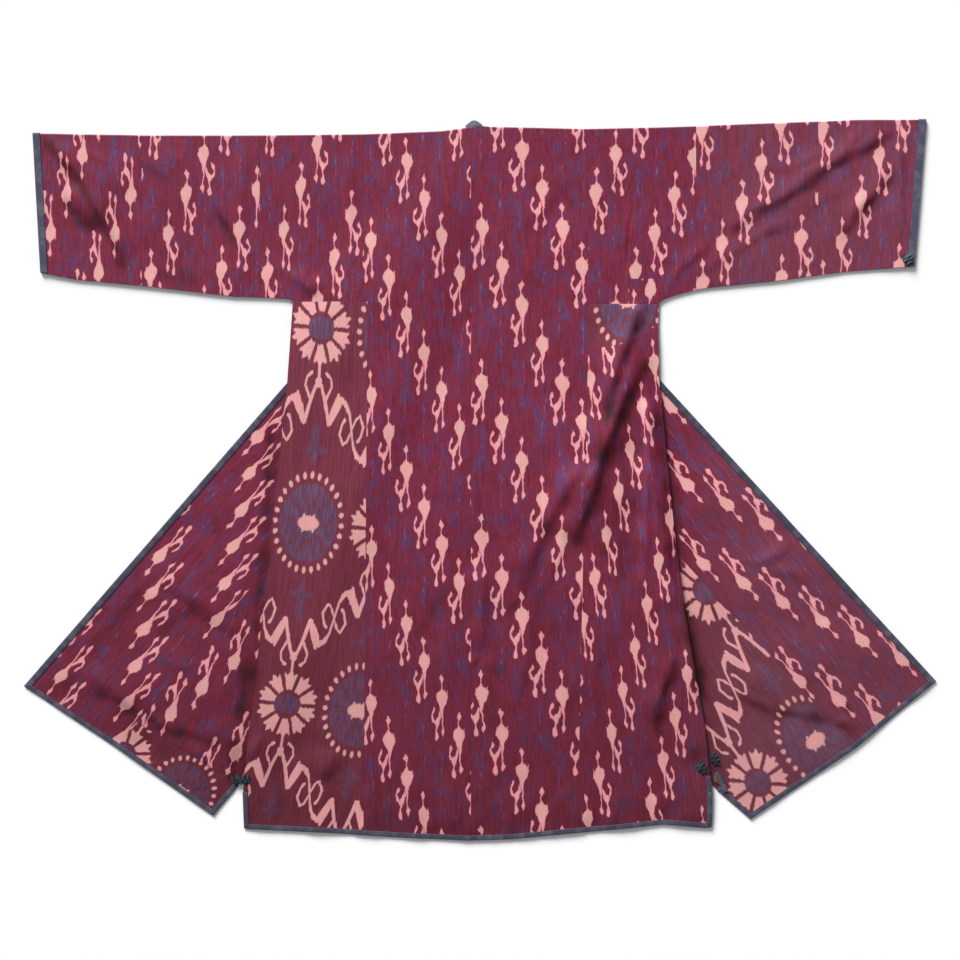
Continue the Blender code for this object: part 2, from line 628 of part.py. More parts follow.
def main():
    for obj in list(bpy.data.objects):
        bpy.data.objects.remove(obj, do_unlink=True)
    ikat = material("ikat_silk", (0.18, 0.025, 0.055), 0.42)
    medallion = material("medallion_silk", (0.15, 0.035, 0.055), 0.45)
    tape = material("binding_tape", (0.08, 0.095, 0.16), 0.8)
    thread = material("indigo_thread", (0.02, 0.03, 0.06), 0.7)
    nape = material("neck_tape", (0.14, 0.15, 0.15), 0.8)
    lining = material("brown_lining", (0.11, 0.05, 0.02), 0.8)

    body_left = make_body("body_left", FRONT_LEFT, under_left, BACK_GORE_SEAM_LEFT,
                          SLEEVE_SEAMS_LEFT[0], ARMHOLE_LEFT, ikat)  # fmt: skip
    body_right = make_body("body_right", FRONT_RIGHT, under_right, BACK_GORE_SEAM_RIGHT,
                           SLEEVE_SEAMS_RIGHT[0], ARMHOLE_RIGHT, ikat)  # fmt: skip
    piecing = (
        between(FRONT_LEFT.vent, FRONT_LEFT.vent_corner, PIECING_SHARES[0]),
        between(FRONT_LEFT.seam_fold, FRONT_LEFT.seam_foot, PIECING_SHARES[1]),
    )
    make_front_gore("front_gore_left", FRONT_LEFT, under_left, SIDE_LEFT, ARMHOLE_LEFT,
                    SLEEVE_SEAMS_LEFT[0], ikat, piecing)  # fmt: skip
    make_front_gore("front_gore_right", FRONT_RIGHT, under_right, SIDE_RIGHT,
                    ARMHOLE_RIGHT, SLEEVE_SEAMS_RIGHT[0], medallion)  # fmt: skip
    hem_left, _ = loft([piecing[0], FRONT_LEFT.vent_corner], [piecing[1], FRONT_LEFT.seam_foot])
    hem_left[0] += np.array([-0.2, -0.3])  # the seam gap at the join
    piece("front_gore_left_hem", [(hem_left, ground)], medallion)
    back_left = make_back_gore("back_gore_left", SIDE_LEFT, BACK_VENT_LEFT, BACK_GORE_SEAM_LEFT,
                               None, medallion)  # fmt: skip
    below_patch = (tuple(PATCH_FOOT[-1]), *SIDE_RIGHT[2:])
    seam_below_patch = (tuple(PATCH_FOOT[0]), *BACK_GORE_SEAM_RIGHT[1:])
    back_right = make_back_gore("back_gore_right", below_patch, BACK_VENT_RIGHT, seam_below_patch,
                                PATCH_FOOT, ikat)  # fmt: skip
    make_underarm(medallion, ikat)

    for side, seams, cuff, underarm, under in (
        ("left", SLEEVE_SEAMS_LEFT, CUFF_LEFT, UNDERARM_LEFT, under_left),
        ("right", SLEEVE_SEAMS_RIGHT, CUFF_RIGHT, UNDERARM_RIGHT, under_right),
    ):
        names = [f"sleeve_{side}_{part}" for part in ("inner", "middle", "cuff")]
        sleeve_end = make_sleeve(names, seams, cuff, underarm, ikat, under)
        make_cuff_tape(f"cuff_tape_{side}", sleeve_end, under, tape)

    make_front_tape("edge_tape_left", FRONT_LEFT, tape)
    make_front_tape("edge_tape_right", FRONT_RIGHT, tape)
    path = back_edge(back_left, body_left, body_right, back_right)
    widths = np.full(len(path) - 1, HEM_TAPE_WIDTH)
    binding("edge_tape_back", path, widths, lambda plan: over_back(plan) + BACK_TAPE_LIFT, tape)
    make_neck_tape(nape)
    make_knots(thread)
    make_vent_lining(lining)


main()
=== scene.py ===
"""An Uzbek ikat chapan laid flat, back up, with both front skirts folded out beside it.

Each cut piece of the robe is one thin wall of cloth. Its middle surface is a grid of points
in plan, layer by layer, and each layer lies at the height of what is under it. Soft creases
are added to the layers that show. The silk's figures are charts read in the cloth's own
coordinates, which run along and across the warp.

Plan sizes are in millimetres until a mesh is made. X runs along the sleeves, Y runs from the
hem to the shoulders, and the ground is Z = 0.
"""

from __future__ import annotations

import logging
import math
from dataclasses import dataclass, field
from enum import Enum
from typing import Callable, NamedTuple, Sequence

import bpy
import numpy as np
from numpy.linalg import norm
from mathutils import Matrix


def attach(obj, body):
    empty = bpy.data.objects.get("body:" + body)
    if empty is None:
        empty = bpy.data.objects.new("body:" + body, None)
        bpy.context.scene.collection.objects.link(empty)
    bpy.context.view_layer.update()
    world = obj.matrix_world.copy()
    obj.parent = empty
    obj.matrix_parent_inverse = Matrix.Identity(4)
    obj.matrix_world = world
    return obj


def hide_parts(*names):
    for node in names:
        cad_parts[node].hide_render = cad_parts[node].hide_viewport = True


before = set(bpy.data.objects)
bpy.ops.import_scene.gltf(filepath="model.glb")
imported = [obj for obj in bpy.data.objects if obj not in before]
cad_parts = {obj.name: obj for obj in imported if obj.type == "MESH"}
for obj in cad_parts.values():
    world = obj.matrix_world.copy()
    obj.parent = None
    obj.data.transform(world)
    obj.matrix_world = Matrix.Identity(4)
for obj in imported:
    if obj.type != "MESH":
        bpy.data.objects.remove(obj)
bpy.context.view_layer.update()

LOG = logging.getLogger("chapan")
MM = 0.001
TURN = 2 * math.pi
Array = np.ndarray
Point = tuple[float, float]
Heights = Warp = Callable[[Array], Array]  # of plan points
Object, Material = bpy.types.Object, bpy.types.Material

CLOTH = 1.6  # the ikat face and its lining
LAYER = 2.2  # cloth, and the air between it and the next layer
SEAM_GAP = 0.06
TUCK, TUCK_END = 0.9965, 0.86  # how far a hip lies inside the back's edge, and where that ends
TAPE = 1.0
TAPE_GAP = 0.3
TAPE_LIFT = 1.7  # how much a hidden tape lifts what lies on it
ON_CLOTH, CUFF_LIFT = CLOTH + TAPE_GAP, TAPE + TAPE_GAP
RUMPLE, SKIRT_RUMPLE, HEM_RUMPLE = 1.6, 1.8, 1.8  # the most that each lies unevenly
MAIN_SHARE, CREST_SHARE, CREST_SHARPER = 0.9, 0.25, 2.6  # a main crease, and the crest on it
FINE_SHARE, SKIRT_SHARE = 1.3, 1.2
FRONT_TAPE_WIDTH, HEM_TAPE_WIDTH, CUFF_TAPE_WIDTH, STRIP_HALF_WIDTH = 10.0, 8.0, 13.0, 4.2
RAMP, REACH = 90.0, 8.0  # cloth settles over RAMP, from REACH past what it covers
STEP, HIDDEN_STEP = 6.0, 9.0  # between the points of a cloth surface
EDGE_STEPS = (0.0, 0.35, 1.0, 2.4)  # closer points where cloth turns over at a seam
FOLD_STEPS = 6
STITCH_RINGS, STITCH_SIDES, TUBE_SIDES = 5, 6, 8

SHOULDER = np.array([  # x, y of the shoulder fold
    (-806, 621), (-608, 617.5), (-396, 617.5), (-210.6, 619.5), (-72, 624.7),
    (-30, 630), (-6, 635), (20, 632.6), (54, 631.7), (191, 629), (317, 631.3),
    (396, 634.4), (670, 644.7), (806, 645.8),
])
BACK_HEM = np.array([  # x, y of the back hem
    (-425, -626.9), (-270, -634), (-151, -642), (-23, -647.8), (56, -645.5),
    (153, -636), (250, -627.3), (330, -618.8), (404, -625), (418, -623.5),
])
CENTRE_BACK_SEAM = -16.2
ARMHOLE_LEFT, ARMHOLE_RIGHT = 320.0, 316.0
SLEEVE_SEAMS_LEFT = (-210.6, -396.0, -608.4)
SLEEVE_SEAMS_RIGHT = (194.4, 388.8, 608.4)
CUFF_LEFT = ((-804.6, 620.9), (-790.6, 372.4))
CUFF_RIGHT = ((802.4, 645.7), (781.4, 383.6))
UNDERARM_LEFT = np.array([  # x, y
    (-790.6, 372.4), (-723.6, 359.6), (-607.5, 348.8), (-442.8, 329.5), (-396, 328),
    (-345, 325.4), (-334, ARMHOLE_LEFT), (-210.6, ARMHOLE_LEFT),
])
UNDERARM_RIGHT = np.array([  # x, y
    (194.4, ARMHOLE_RIGHT), (320, ARMHOLE_RIGHT), (331.2, 325), (345.6, 330), (360, 334.4),
    (389, 341.6), (410, 345.2), (539, 358.3), (659, 374.7), (760, 382.1), (781.4, 383.6),
])
GUSSET_LEFT_X, GUSSET_RIGHT_X, GUSSET_TOP = 266.4, 331.2, 361.4
PATCH_FOOT = np.array([(194.4, 233.6), (252, 242.6), (320, 278)])
SIDE_LEFT = ((-336.6, ARMHOLE_LEFT), (-346.5, 174.2), (-369, -36.5), (-387, -216.5),
             (-414, -432.5), (-428, -540.5))
SIDE_RIGHT = ((322.5, ARMHOLE_RIGHT), (318.6, 251.6), (322.2, 179.6), (338.4, 17.6),
              (349.9, -95.9), (370.8, -250.7), (404.3, -441.5), (417.6, -549.5))
ROBE_SIDES = ((SIDE_LEFT, -1.0), (SIDE_RIGHT, 1.0))
BACK_VENT_LEFT = ((-425.7, -561.5), (-425, -580), (-424.3, -602), (-423.5, -626.9))
BACK_VENT_RIGHT = ((416.6, -561.5), (416.3, -579), (416, -601), (415.8, -623.3))
BACK_GORE_SEAM_LEFT = ((-202, ARMHOLE_LEFT), (-209.7, -637.8))
BACK_GORE_SEAM_RIGHT = ((194.4, ARMHOLE_RIGHT), (194.4, 233.6), (180, -396.5), (176.4, -633.8))
PIECING_SHARES = (0.12, 0.917)
NECK_TAPE = np.array([  # x, y of its upper edge
    (-26, 636.5), (-21, 641), (-15, 645.5), (-9, 646.5), (-3, 643.5), (4, 638.5),
])
VENT_LINING = np.array([((421, -532), (428, -532), (434, -532)),
                        ((421, -544), (428, -547), (434, -550))], float)


# ---------------- curves and heights


def smooth(share: Array | float) -> Array:
    """Ease from 0 to 1 as share goes from 0 to 1: 3 s squared less 2 s cubed."""
    share = np.clip(share, 0.0, 1.0)
    return share * share * (3.0 - 2.0 * share)


def between(start: Point, end: Point, share: float) -> Point:
    """The point at this share of the way from start to end."""
    return start[0] + (end[0] - start[0]) * share, start[1] + (end[1] - start[1]) * share


def rotation(turn: float) -> Array:
    """The matrix of a turn in plan."""
    return np.array([[math.cos(turn), -math.sin(turn)], [math.sin(turn), math.cos(turn)]])


def side_of(plan: Array, start: Point, end: Point, inward: Point) -> tuple[Array, Array]:
    """Signed distance of plan points from a line, and how far along it they lie.

    Args:
        plan: points, with x and y last.
        start: where the line starts.
        end: where it ends.
        inward: a point on the positive side.

    Returns:
        The distances across the line, and the distances along it from start.
    """
    first = np.asarray(start, float)
    along = np.asarray(end, float) - first
    along /= norm(along)
    across = np.array([-along[1], along[0]])
    across *= np.sign((np.asarray(inward, float) - first) @ across)
    return (plan - first) @ across, (plan - first) @ along


def past_side(plan: Array, side: Sequence[Point], sign: float) -> Array:
    """How far points lie outside one of the robe's sides, level with it."""
    heights, places = [y for _, y in reversed(side)], [x for x, _ in reversed(side)]
    return sign * (plan[..., 0] - np.interp(plan[..., 1], heights, places))


def heights_on(curve: Array, x: Array | float) -> Array:
    """The y of a curve at each x."""
    return np.interp(x, curve[:, 0], curve[:, 1])


def point_on(curve: Array, x: float) -> Point:
    """The point of a curve above or below x."""
    return x, float(heights_on(curve, x))


@dataclass(frozen=True)
class Skirt:
    """One front skirt as it lies: turned under along a line from the neck to the vent."""

    neck: Point
    vent: Point
    knee: Point
    corner: Point
    seam_fold: Point
    seam_foot: Point
    vent_corner: Point

    def inside(self, plan: Array) -> Array:
        """How far points lie inside the opening edge, which bends at the knee."""
        upper, _ = side_of(plan, self.neck, self.knee, self.vent)
        lower, _ = side_of(plan, self.knee, self.corner, self.vent)
        return np.minimum(upper, lower)

    def lift(self, plan: Array) -> Array:
        """Underside of cloth that lies on the skirt: one layer, and more over its tape."""
        inside = self.inside(plan)
        skirt = smooth((inside + REACH + RAMP) / RAMP)
        tape = skirt * (1 - smooth((inside - REACH - FRONT_TAPE_WIDTH) / RAMP))
        return LAYER * skirt + TAPE_LIFT * tape

    def cover(self, plan: Array) -> Array:
        """1 where the back lies on this front, easing to 0 towards the middle and the hem."""
        inward, along = side_of(plan, self.neck, self.vent, (0, -600))
        past = along - math.dist(self.neck, self.vent)
        across = 1 - smooth((inward - REACH) / RAMP)
        return across * (1 - smooth((past - REACH) / (0.8 * RAMP)))


SKIRT_LEFT = Skirt((-9, 590), (-428, -540.5), (-345.6, 174.2), (-818.9, -371.0),
                   (-210.6, 46.4), (-653.4, -481.1), (-480.6, -602.9))
SKIRT_RIGHT = Skirt((1.8, 590), (417.6, -549.5), (322.2, 179.6), (819, -362.3),
                    (207.9, 25.8), (675, -482), (486.9, -608.9))


# This is also the way towards the key light, so creases rise gently on their lit side.
GENTLE_SIDE = np.array([-0.42, 0.91])  # the side on which creases rise gently


class Crease(NamedTuple):
    """A soft ridge along a path of plan points."""

    path: tuple[Point, ...]
    half_width: float
    height: float


def creases(*rows: tuple) -> tuple[Crease, ...]:
    """Creases from rows of a path, a half width and a height."""
    return tuple(Crease(*row) for row in rows)


MAIN_CREASES = creases(  # these have the sizes of the solids' own folds
    (((-781, 616), (-712, 540), (-668, 462), (-632, 400)), 13, 4.0),
    (((-742, 532), (-702, 480), (-680, 452)), 12, 3.0),
    (((-700, 600), (-560, 380)), 19, 2.0),
    (((-342, 372), (-290, 330)), 16, 3.4),
    (((740, 630), (628, 569), (540, 507), (443, 447)), 15, 2.3),
    (((737, 570), (708, 516), (656, 460)), 13, 2.8),
    (((291, 320), (255, 230), (218, 128)), 19, 4.0),
    (((288, 220), (250, 130), (203, -13), (165, -112)), 26, 6.6),
    (((184, 32), (139, -41), (110, -99), (72, -171)), 18, 2.6),
    (((299, 190), (302, 60), (299, -60), (295, -214)), 11, 3.0),
    (((306, 150), (322, 20), (334, -110), (352, -240)), 20, 3.4),
    (((353, -318), (331, -369), (318, -436)), 19, 4.2),
    (((372, -240), (383, -330), (394, -400)), 13, 3.2),
    (((5, -145), (2, -305)), 15, 3.0),
    (((-283, -542), (-254, -484)), 16, 2.6),
)
FINE_CREASES = creases(
    (((-765, 596), (-705, 470), (-645, 372)), 6, 1.0),
    (((-738, 604), (-660, 470), (-598, 370)), 7, 1.1),
    (((-792, 500), (-764, 430), (-742, 372)), 6, 0.9),
    (((-640, 606), (-600, 520), (-520, 400)), 9, 0.8),
    (((-335, 372), (-322, 345), (-312, 322)), 4, 1.3),
    (((-318, 380), (-304, 345), (-296, 322)), 4, 1.2),
    (((-298, 372), (-288, 345), (-282, 322)), 4.5, 1.0),
    (((-276, 365), (-268, 322)), 5, 0.8),
    (((765, 636), (760, 540), (756, 410)), 7, 1.1),
    (((700, 640), (640, 575), (560, 540)), 9, 0.9),
    (((640, 600), (560, 560), (480, 560)), 8, 0.8),
    (((560, 470), (470, 420), (380, 360)), 9, 1.0),
    (((420, 430), (360, 380), (330, 330)), 7, 1.1),
    (((309, 150), (313, 30), (322, -120)), 7, 1.3),
    (((290, 250), (235, 90), (205, 20)), 7, 1.0),
    (((268, 160), (215, 30), (170, -40)), 6, 0.9),
    (((160, -60), (140, -140), (120, -210)), 8, 1.0),
    (((-20, -336), (3, -316)), 4, 1.0),
    (((38, -352), (8, -320)), 4, 1.0),
    (((12, -362), (4, -318)), 4, 0.9),
    (((9, -150), (-8, -60), (-4, 40)), 8, 0.9),
    (((-60, -180), (-48, -260), (-56, -350)), 10, 0.8),
    (((90, -250), (84, -330), (60, -420)), 10, 0.8),
    (((-414, -504), (-400, -480), (-392, -455)), 6, 1.5),
    (((-330, -560), (-318, -500)), 7, 1.0),
    (((-204, -640), (-196, -590), (-200, -540)), 11, 1.3),
    (((-110, -645), (-118, -585)), 12, 1.0),
    (((-40, -645), (-52, -580), (-50, -520)), 12, 1.4),
    (((60, -645), (48, -590)), 11, 1.1),
    (((140, -640), (128, -575)), 10, 1.2),
    (((236, -628), (250, -560)), 11, 1.3),
    (((330, -618), (318, -560)), 9, 1.5),
    (((380, -620), (352, -560)), 9, 1.2),
    (((-300, 300), (-250, 180), (-226, 60)), 12, 0.9),
    (((-190, 560), (-120, 470), (-60, 430)), 13, 0.8),
    (((170, 560), (110, 480), (60, 450)), 13, 0.9),
    (((-230, 600), (-236, 480), (-228, 360)), 9, 0.9),
    (((-420, 600), (-430, 470), (-418, 340)), 9, 0.8),
)
FAN_CREASES = creases(
    (((488, -157), (530, -140), (563, -112)), 8, 1.9),
    (((529, -164), (560, -168), (592, -184)), 7, 1.6),
    (((610, -250), (660, -290), (700, -340)), 10, 1.3),
    (((470, -330), (520, -390), (540, -450)), 10, 1.3),
    (((-531, -198), (-490, -226), (-450, -262)), 10, 1.6),
    (((-702, -351), (-660, -376), (-621, -416)), 9, 1.7),
    (((-594, -441), (-566, -446), (-540, -462)), 8, 1.5),
    (((-520, -470), (-500, -510), (-506, -560)), 9, 1.2),
    (((-600, -300), (-560, -330), (-500, -340)), 12, 1.1),
)


HOLLOWS = creases(  # their heights are depths of painted shade; below 0 they are painted highlights
    (((299, 319), (283, 279), (268, 238), (241, 158), (223, 94)), 9, 0.8),
    (((304, 220), (281, 171), (256, 117), (234, 63), (216, 9),
            (202, -36), (185, -81), (169, -130)), 11, 0.95),
    (((248, 144), (223, 86), (198, 18)), 12, 0.45),
    (((261, -36), (230, -90), (216, -144)), 14, 0.45),
    (((277, 144), (270, 0), (256, -198)), 24, 0.42),
    (((302, 171), (297, -36), (304, -234)), 6, -0.4),
    (((317, 144), (331, 18), (335, -90), (342, -198)), 11, 0.55),
    (((351, 0), (356, -72), (364, -144)), 8, 0.5),
    (((367, -216), (380, -288), (392, -351), (407, -405)), 11, 1.05),
    (((356, -315), (338, -360), (324, -400), (319, -446), (333, -472)), 8, 1.0),
    (((378, -477), (396, -522)), 14, 0.6),
    (((189, 16), (167, -18), (121, -85), (79, -198), (45, -252)), 10, 0.5),
    (((178, -369), (157, -414), (135, -450)), 14, 0.4),
    (((169, -194), (169, -274)), 12, 0.3),
    (((-20, 40), (-40, -121), (-31, -301)), 26, 0.18),
    (((101, 59), (90, -121), (110, -301)), 24, 0.16),
    (((-59, -191), (-90, -243), (-121, -295)), 12, 0.45),
    (((144, -144), (108, -216), (94, -288)), 10, 0.3),
    (((36, -315), (18, -396), (25, -459)), 12, 0.3),
    (((225, -288), (209, -378), (216, -450)), 12, 0.3),
    (((-788, 610), (-763, 590), (-738, 558), (-716, 526), (-691, 482)), 9, 1.05),
    (((-752, 518), (-738, 490), (-720, 470), (-698, 455), (-673, 448)), 10, 1.05),
    (((-698, 495), (-670, 446), (-652, 414), (-635, 371)), 8, 0.95),
    (((-711, 585), (-684, 572), (-661, 563)), 4, 0.5),
    (((-616, 567), (-585, 554), (-554, 529)), 9, 0.55),
    (((-484, 499), (-464, 468), (-446, 439), (-430, 410)), 7, 0.85),
    (((-585, 374), (-540, 364), (-495, 355)), 14, 0.45),
    (((743, 623), (684, 585), (630, 562), (587, 526), (540, 499), (491, 482), (448, 439)), 7, 0.75),
    (((743, 554), (720, 518), (688, 482), (659, 446), (641, 414)), 9, 0.75),
    (((504, 441), (558, 450), (601, 490), (666, 522)), 6, 0.32),
    (((761, 594), (758, 500)), 6, 0.35),
    (((-576, -187), (-522, -223), (-477, -263), (-414, -288)), 8, 0.6),
    (((-594, -290), (-554, -256), (-511, -232)), 7, 0.45),
    (((-752, -378), (-734, -356), (-716, -342)), 7, 0.65),
    (((-702, -376), (-666, -391), (-630, -412), (-576, -441), (-504, -466), (-459, -479)), 9, 0.85),
    (((-706, -315), (-666, -266), (-621, -211), (-585, -167)), 9, 0.4),
    (((-666, -418), (-576, -477), (-477, -522)), 30, 0.35),
    (((-376, 108), (-380, 0), (-387, -108)), 9, 0.8),
    (((-387, -108), (-398, -216), (-405, -288)), 9, 0.7),
    (((-414, -315), (-427, -396), (-436, -441)), 11, 1.0),
    (((-437, -459), (-445, -513), (-448, -549)), 12, 1.0),
    (((459, -387), (522, -416), (603, -428), (688, -454)), 9, 0.8),
    (((657, -405), (680, -436)), 10, 0.5),
    (((-338, 373), (-317, 346), (-292, 326)), 7, 0.5),
    (((-283, -545), (-263, -500)), 10, 0.4),
    (((-392, -522), (-342, -477), (-270, -459)), 14, 0.3),
)


# Painted shade on slopes that rise towards the light: the reach they are measured over, and how much it
# darkens.
SLOPE_REACH, SLOPE_SHADE = 4.0, 0.8
SKIRT_FADE, BACK_FADE = 16.0, 4.0  # how fast the painted shade by the back's edge fades, out and in
SHADE_RANGE = (-0.25, 1.35)


def from_path(plan: Array, path: Sequence[Point]) -> tuple[Array, Array, Array, float]:
    """Where points lie beside a path: the nearest foot of all its straight lengths is kept.

    Args:
        plan: points, with x and y last.
        path: the path's corners.

    Returns:
        Distances from the path, distances along it, how much each point lies to the gentle
        side, from -1 to 1, and the path's length.
    """
    nearest = np.full(plan.shape[:-1], 1e9)
    reached, leaning = np.zeros(plan.shape[:-1]), np.zeros(plan.shape[:-1])
    gone = 0.0
    for start, end in zip(path, path[1:]):
        first, step = np.asarray(start, float), np.subtract(end, start).astype(float)
        length = float(norm(step))
        share = ((plan - first) @ step) / length**2
        offset = plan - first - np.clip(share, 0, 1)[..., None] * step
        away = norm(offset, axis=-1)
        lean = offset @ GENTLE_SIDE / np.maximum(away, 1e-6)
        closer = away < nearest
        reached = np.where(closer, gone + share * length, reached)
        leaning = np.where(closer, lean, leaning)
        nearest = np.minimum(nearest, away)
        gone += length
    return nearest, reached, leaning, gone


def ridge(plan: Array, crease: Crease, sharper: float = 1.0) -> Array:
    """Height of one crease: a bell curve of the distance to its path, easing out at its ends.

    Cloth rises gently on one side and falls steeply on the other. The crease also grows and
    shrinks by a fifth along its way, so that no two stretches match.

    Args:
        plan: points, with x and y last.
        crease: the path, half width and height.
        sharper: how much the crease is narrowed.

    Returns:
        The height at each point.
    """
    nearest, reached, leaning, gone = from_path(plan, crease.path)
    fade = min(50.0, gone / 2.4)
    taper = smooth(reached / fade + 0.2) * smooth((gone - reached) / fade + 0.1)
    sway = 1 + 0.2 * np.sin(reached / 17.0 + crease.path[0][0])
    wide = crease.half_width * sway / sharper * (1.25 + 0.5 * np.tanh(4 * leaning))
    return crease.height * sway * taper * np.exp(-((nearest / wide) ** 2))


def hollow(plan: Array, crease: Crease) -> Array:
    """Shade of one hollow: a bell curve whose width and depth waver along its path."""
    nearest, reached, _, gone = from_path(plan, crease.path)
    fade = min(36.0, gone / 2.4)
    taper = smooth(reached / fade + 0.3) * smooth((gone - reached) / fade + 0.2)
    wide = crease.half_width * (1 + 0.3 * np.sin(reached / 13.0 + crease.path[0][1]))
    depth = crease.height * (1 + 0.25 * np.sin(reached / 9.0 + crease.path[-1][0]))
    return depth * taper * np.exp(-((nearest / wide) ** 2))


def shade(plan: Array, underside: Heights) -> Array:
    """Painted shade: how much the cloth is darkened in hollows, on slopes away from the light and by the
    folds.

    A slope counts by how steeply the cloth rises towards the gentle side over eight
    millimetres. Beside the back's edges the skirts lie in the corner under it.

    Args:
        plan: points, with x and y last.
        underside: the heights that the cloth lies at.

    Returns:
        The painted shade at each point, 0 on open cloth and 1 in the deepest hollow.
    """
    # Painted shade on slopes that rise towards the light, which face away from it.
    reach = SLOPE_REACH * GENTLE_SIDE
    depth = (underside(plan + reach) - underside(plan - reach)) / (2 * SLOPE_REACH) * SLOPE_SHADE
    broken = 0.68 + 0.64 * rumple(plan, 21, 56.0)
    # Painted shade along the hollows, broken by a rumple.
    for crease in HOLLOWS:
        depth = depth + broken * hollow(plan, crease)
    # Painted shade on the skirts beside the back's edges, and a little on the back's own edge.
    for side, sign in ROBE_SIDES:
        beyond = past_side(plan, side, sign)
        reached = np.where(beyond > 0, beyond / SKIRT_FADE, -beyond / BACK_FADE)
        beside = smooth((180 - plan[..., 1]) / 60) * smooth((plan[..., 1] + 575) / 30)
        edge_shade = 0.36 + 0.16 * np.sin(plan[..., 1] / 31.0) + 0.3 * smooth((-250 - plan[..., 1]) / 200)
        depth = depth + edge_shade * beside * np.exp(-reached)
    return np.clip(depth, *SHADE_RANGE)


def rumple(plan: Array, seed: int, longest: float = 230.0) -> Array:
    """Uneven lie of soft cloth: a sum of twenty sine waves of random direction and length.

    Args:
        plan: points, with x and y last.
        seed: which set of waves.
        longest: the longest wave in millimetres.

    Returns:
        Values from about 0 to 1.
    """
    chance = np.random.default_rng(seed)
    total = np.zeros(plan.shape[:-1])
    for _ in range(20):
        turn, length = chance.uniform(0, math.pi), chance.uniform(0.28, 1.0) * longest
        wave = np.array([math.cos(turn), math.sin(turn)]) * TURN / length
        total += (length / longest) * np.sin(plan @ wave + chance.uniform(0, TURN))
    return np.clip(0.5 + total / 7.0, 0.0, 1.0)


class Lie:
    """How the robe's layers lie on each other: the underside of each, over the ground."""

    @staticmethod
    def cuffs(plan: Array, width: float = 60.0) -> Array:
        """How near points are to a cuff's tape: 1 on it, easing to 0 over the width."""
        near = np.zeros(plan.shape[:-1])
        for cuff in (CUFF_LEFT, CUFF_RIGHT):
            inside, _ = side_of(plan, cuff[0], cuff[1], (0, 0))
            near = near + 1 - smooth((inside - CUFF_TAPE_WIDTH - 3) / width)
        return near

    @classmethod
    def creases(cls, plan: Array) -> Array:
        """Creases and rumples of the layers that show, flat beside the cuffs' tapes."""
        height = RUMPLE * rumple(plan, 4)
        for crease in MAIN_CREASES:
            crest = CREST_SHARE * ridge(plan, crease, CREST_SHARPER)
            height = height + MAIN_SHARE * ridge(plan, crease) + crest
        for crease in FINE_CREASES:
            height = height + FINE_SHARE * ridge(plan, crease)
        hem = smooth((-500 - plan[..., 1]) / 120) * rumple(plan, 9, 90.0)
        return (height + HEM_RUMPLE * hem) * (1 - 0.8 * np.clip(cls.cuffs(plan, 40.0), 0, 1))

    @classmethod
    def under(cls, skirt: Skirt) -> Heights:
        """The underside of a skirt's front and sleeve: half of what shows above is felt here."""

        def height(plan: Array) -> Array:
            return skirt.lift(plan) + CUFF_LIFT * cls.cuffs(plan) + 0.5 * cls.creases(plan)

        return height

    @classmethod
    def back(cls, plan: Array) -> Array:
        """Underside of the back and of the upper sleeves."""
        right = smooth((plan[..., 0] - CENTRE_BACK_SEAM + 60) / 120)
        below = (1 - right) * SKIRT_LEFT.lift(plan) + right * SKIRT_RIGHT.lift(plan)
        bare = (1 - SKIRT_LEFT.cover(plan)) * (1 - SKIRT_RIGHT.cover(plan))
        rest = (below + LAYER) * (1 - bare) + CUFF_LIFT * cls.cuffs(plan)
        return rest + cls.creases(plan)

    @staticmethod
    def fan(skirt: Skirt) -> Heights:
        """The underside of a skirt that is folded out, with creases where it shows."""
        side = ROBE_SIDES[skirt is SKIRT_RIGHT]

        def height(plan: Array) -> Array:
            shows = smooth((past_side(plan, *side) - 12) / 45)
            rise = SKIRT_RUMPLE * rumple(plan, 7, 170.0)
            for crease in FAN_CREASES:
                rise = rise + SKIRT_SHARE * ridge(plan, crease)
            return shows * rise

        return height


def raised(base: Heights, rise: float) -> Heights:
    """The same heights with a rise on top."""
    return lambda plan: base(plan) + rise


# ---------------- cloth coordinates


class Chart(Enum):
    """The two silks: (column pitch, period along the warp, rise from column to column)."""

    FIGURES = (32.4, 279.0, 69.75)
    MEDALLIONS = (127.8, 342.0, 0.0)


@dataclass(frozen=True)
class Loom:
    """Where a silk's chart falls on one cut piece."""

    chart: Chart
    origin: Point
    head: Point = (0.0, 1.0)
    pitch: float = 0.0
    period: float = 0.0
    rise: float = 0.0
    mirrored: bool = False
    stretch: float = 0.0  # how much the repeat shortens along the warp, for each metre
    bow: float = 0.0  # how far the warp bends sideways, in metres at a metre

    def __call__(self, plan: Array) -> Array:
        """Chart coordinates of plan points, in metres.

        The point is taken from the origin along and across the warp, and each axis is
        stretched so that this piece's pitch, period and rise become the chart's own. A cloth
        that was laid askew also bows and stretches with the distance along.

        Args:
            plan: points, with x and y last.

        Returns:
            Coordinates across and along the warp, in the same shape.
        """
        pitch, period, rise = self.chart.value
        up = np.asarray(self.head, float)
        up = up / norm(up)
        right = np.array([up[1], -up[0]]) * (-1 if self.mirrored else 1)
        offset = plan - np.asarray(self.origin, float)
        across = offset @ right * (pitch / (self.pitch or pitch))
        along = offset @ up * (period / (self.period or period))
        across = across + self.bow * along**2 * MM
        along = along + self.stretch * along**2 * MM
        if self.rise:
            along = along + across / pitch * (self.rise * period / (self.period or period) - rise)
        return np.stack([across, along], axis=-1) * MM


def over_shoulder(loom: Warp) -> Warp:
    """The same cloth past the shoulder fold: its plan is reflected in the fold."""

    def carried(plan: Array) -> Array:
        fold = heights_on(SHOULDER, plan[..., 0])
        return loom(np.stack([plan[..., 0], 2 * fold - plan[..., 1]], axis=-1))

    return carried


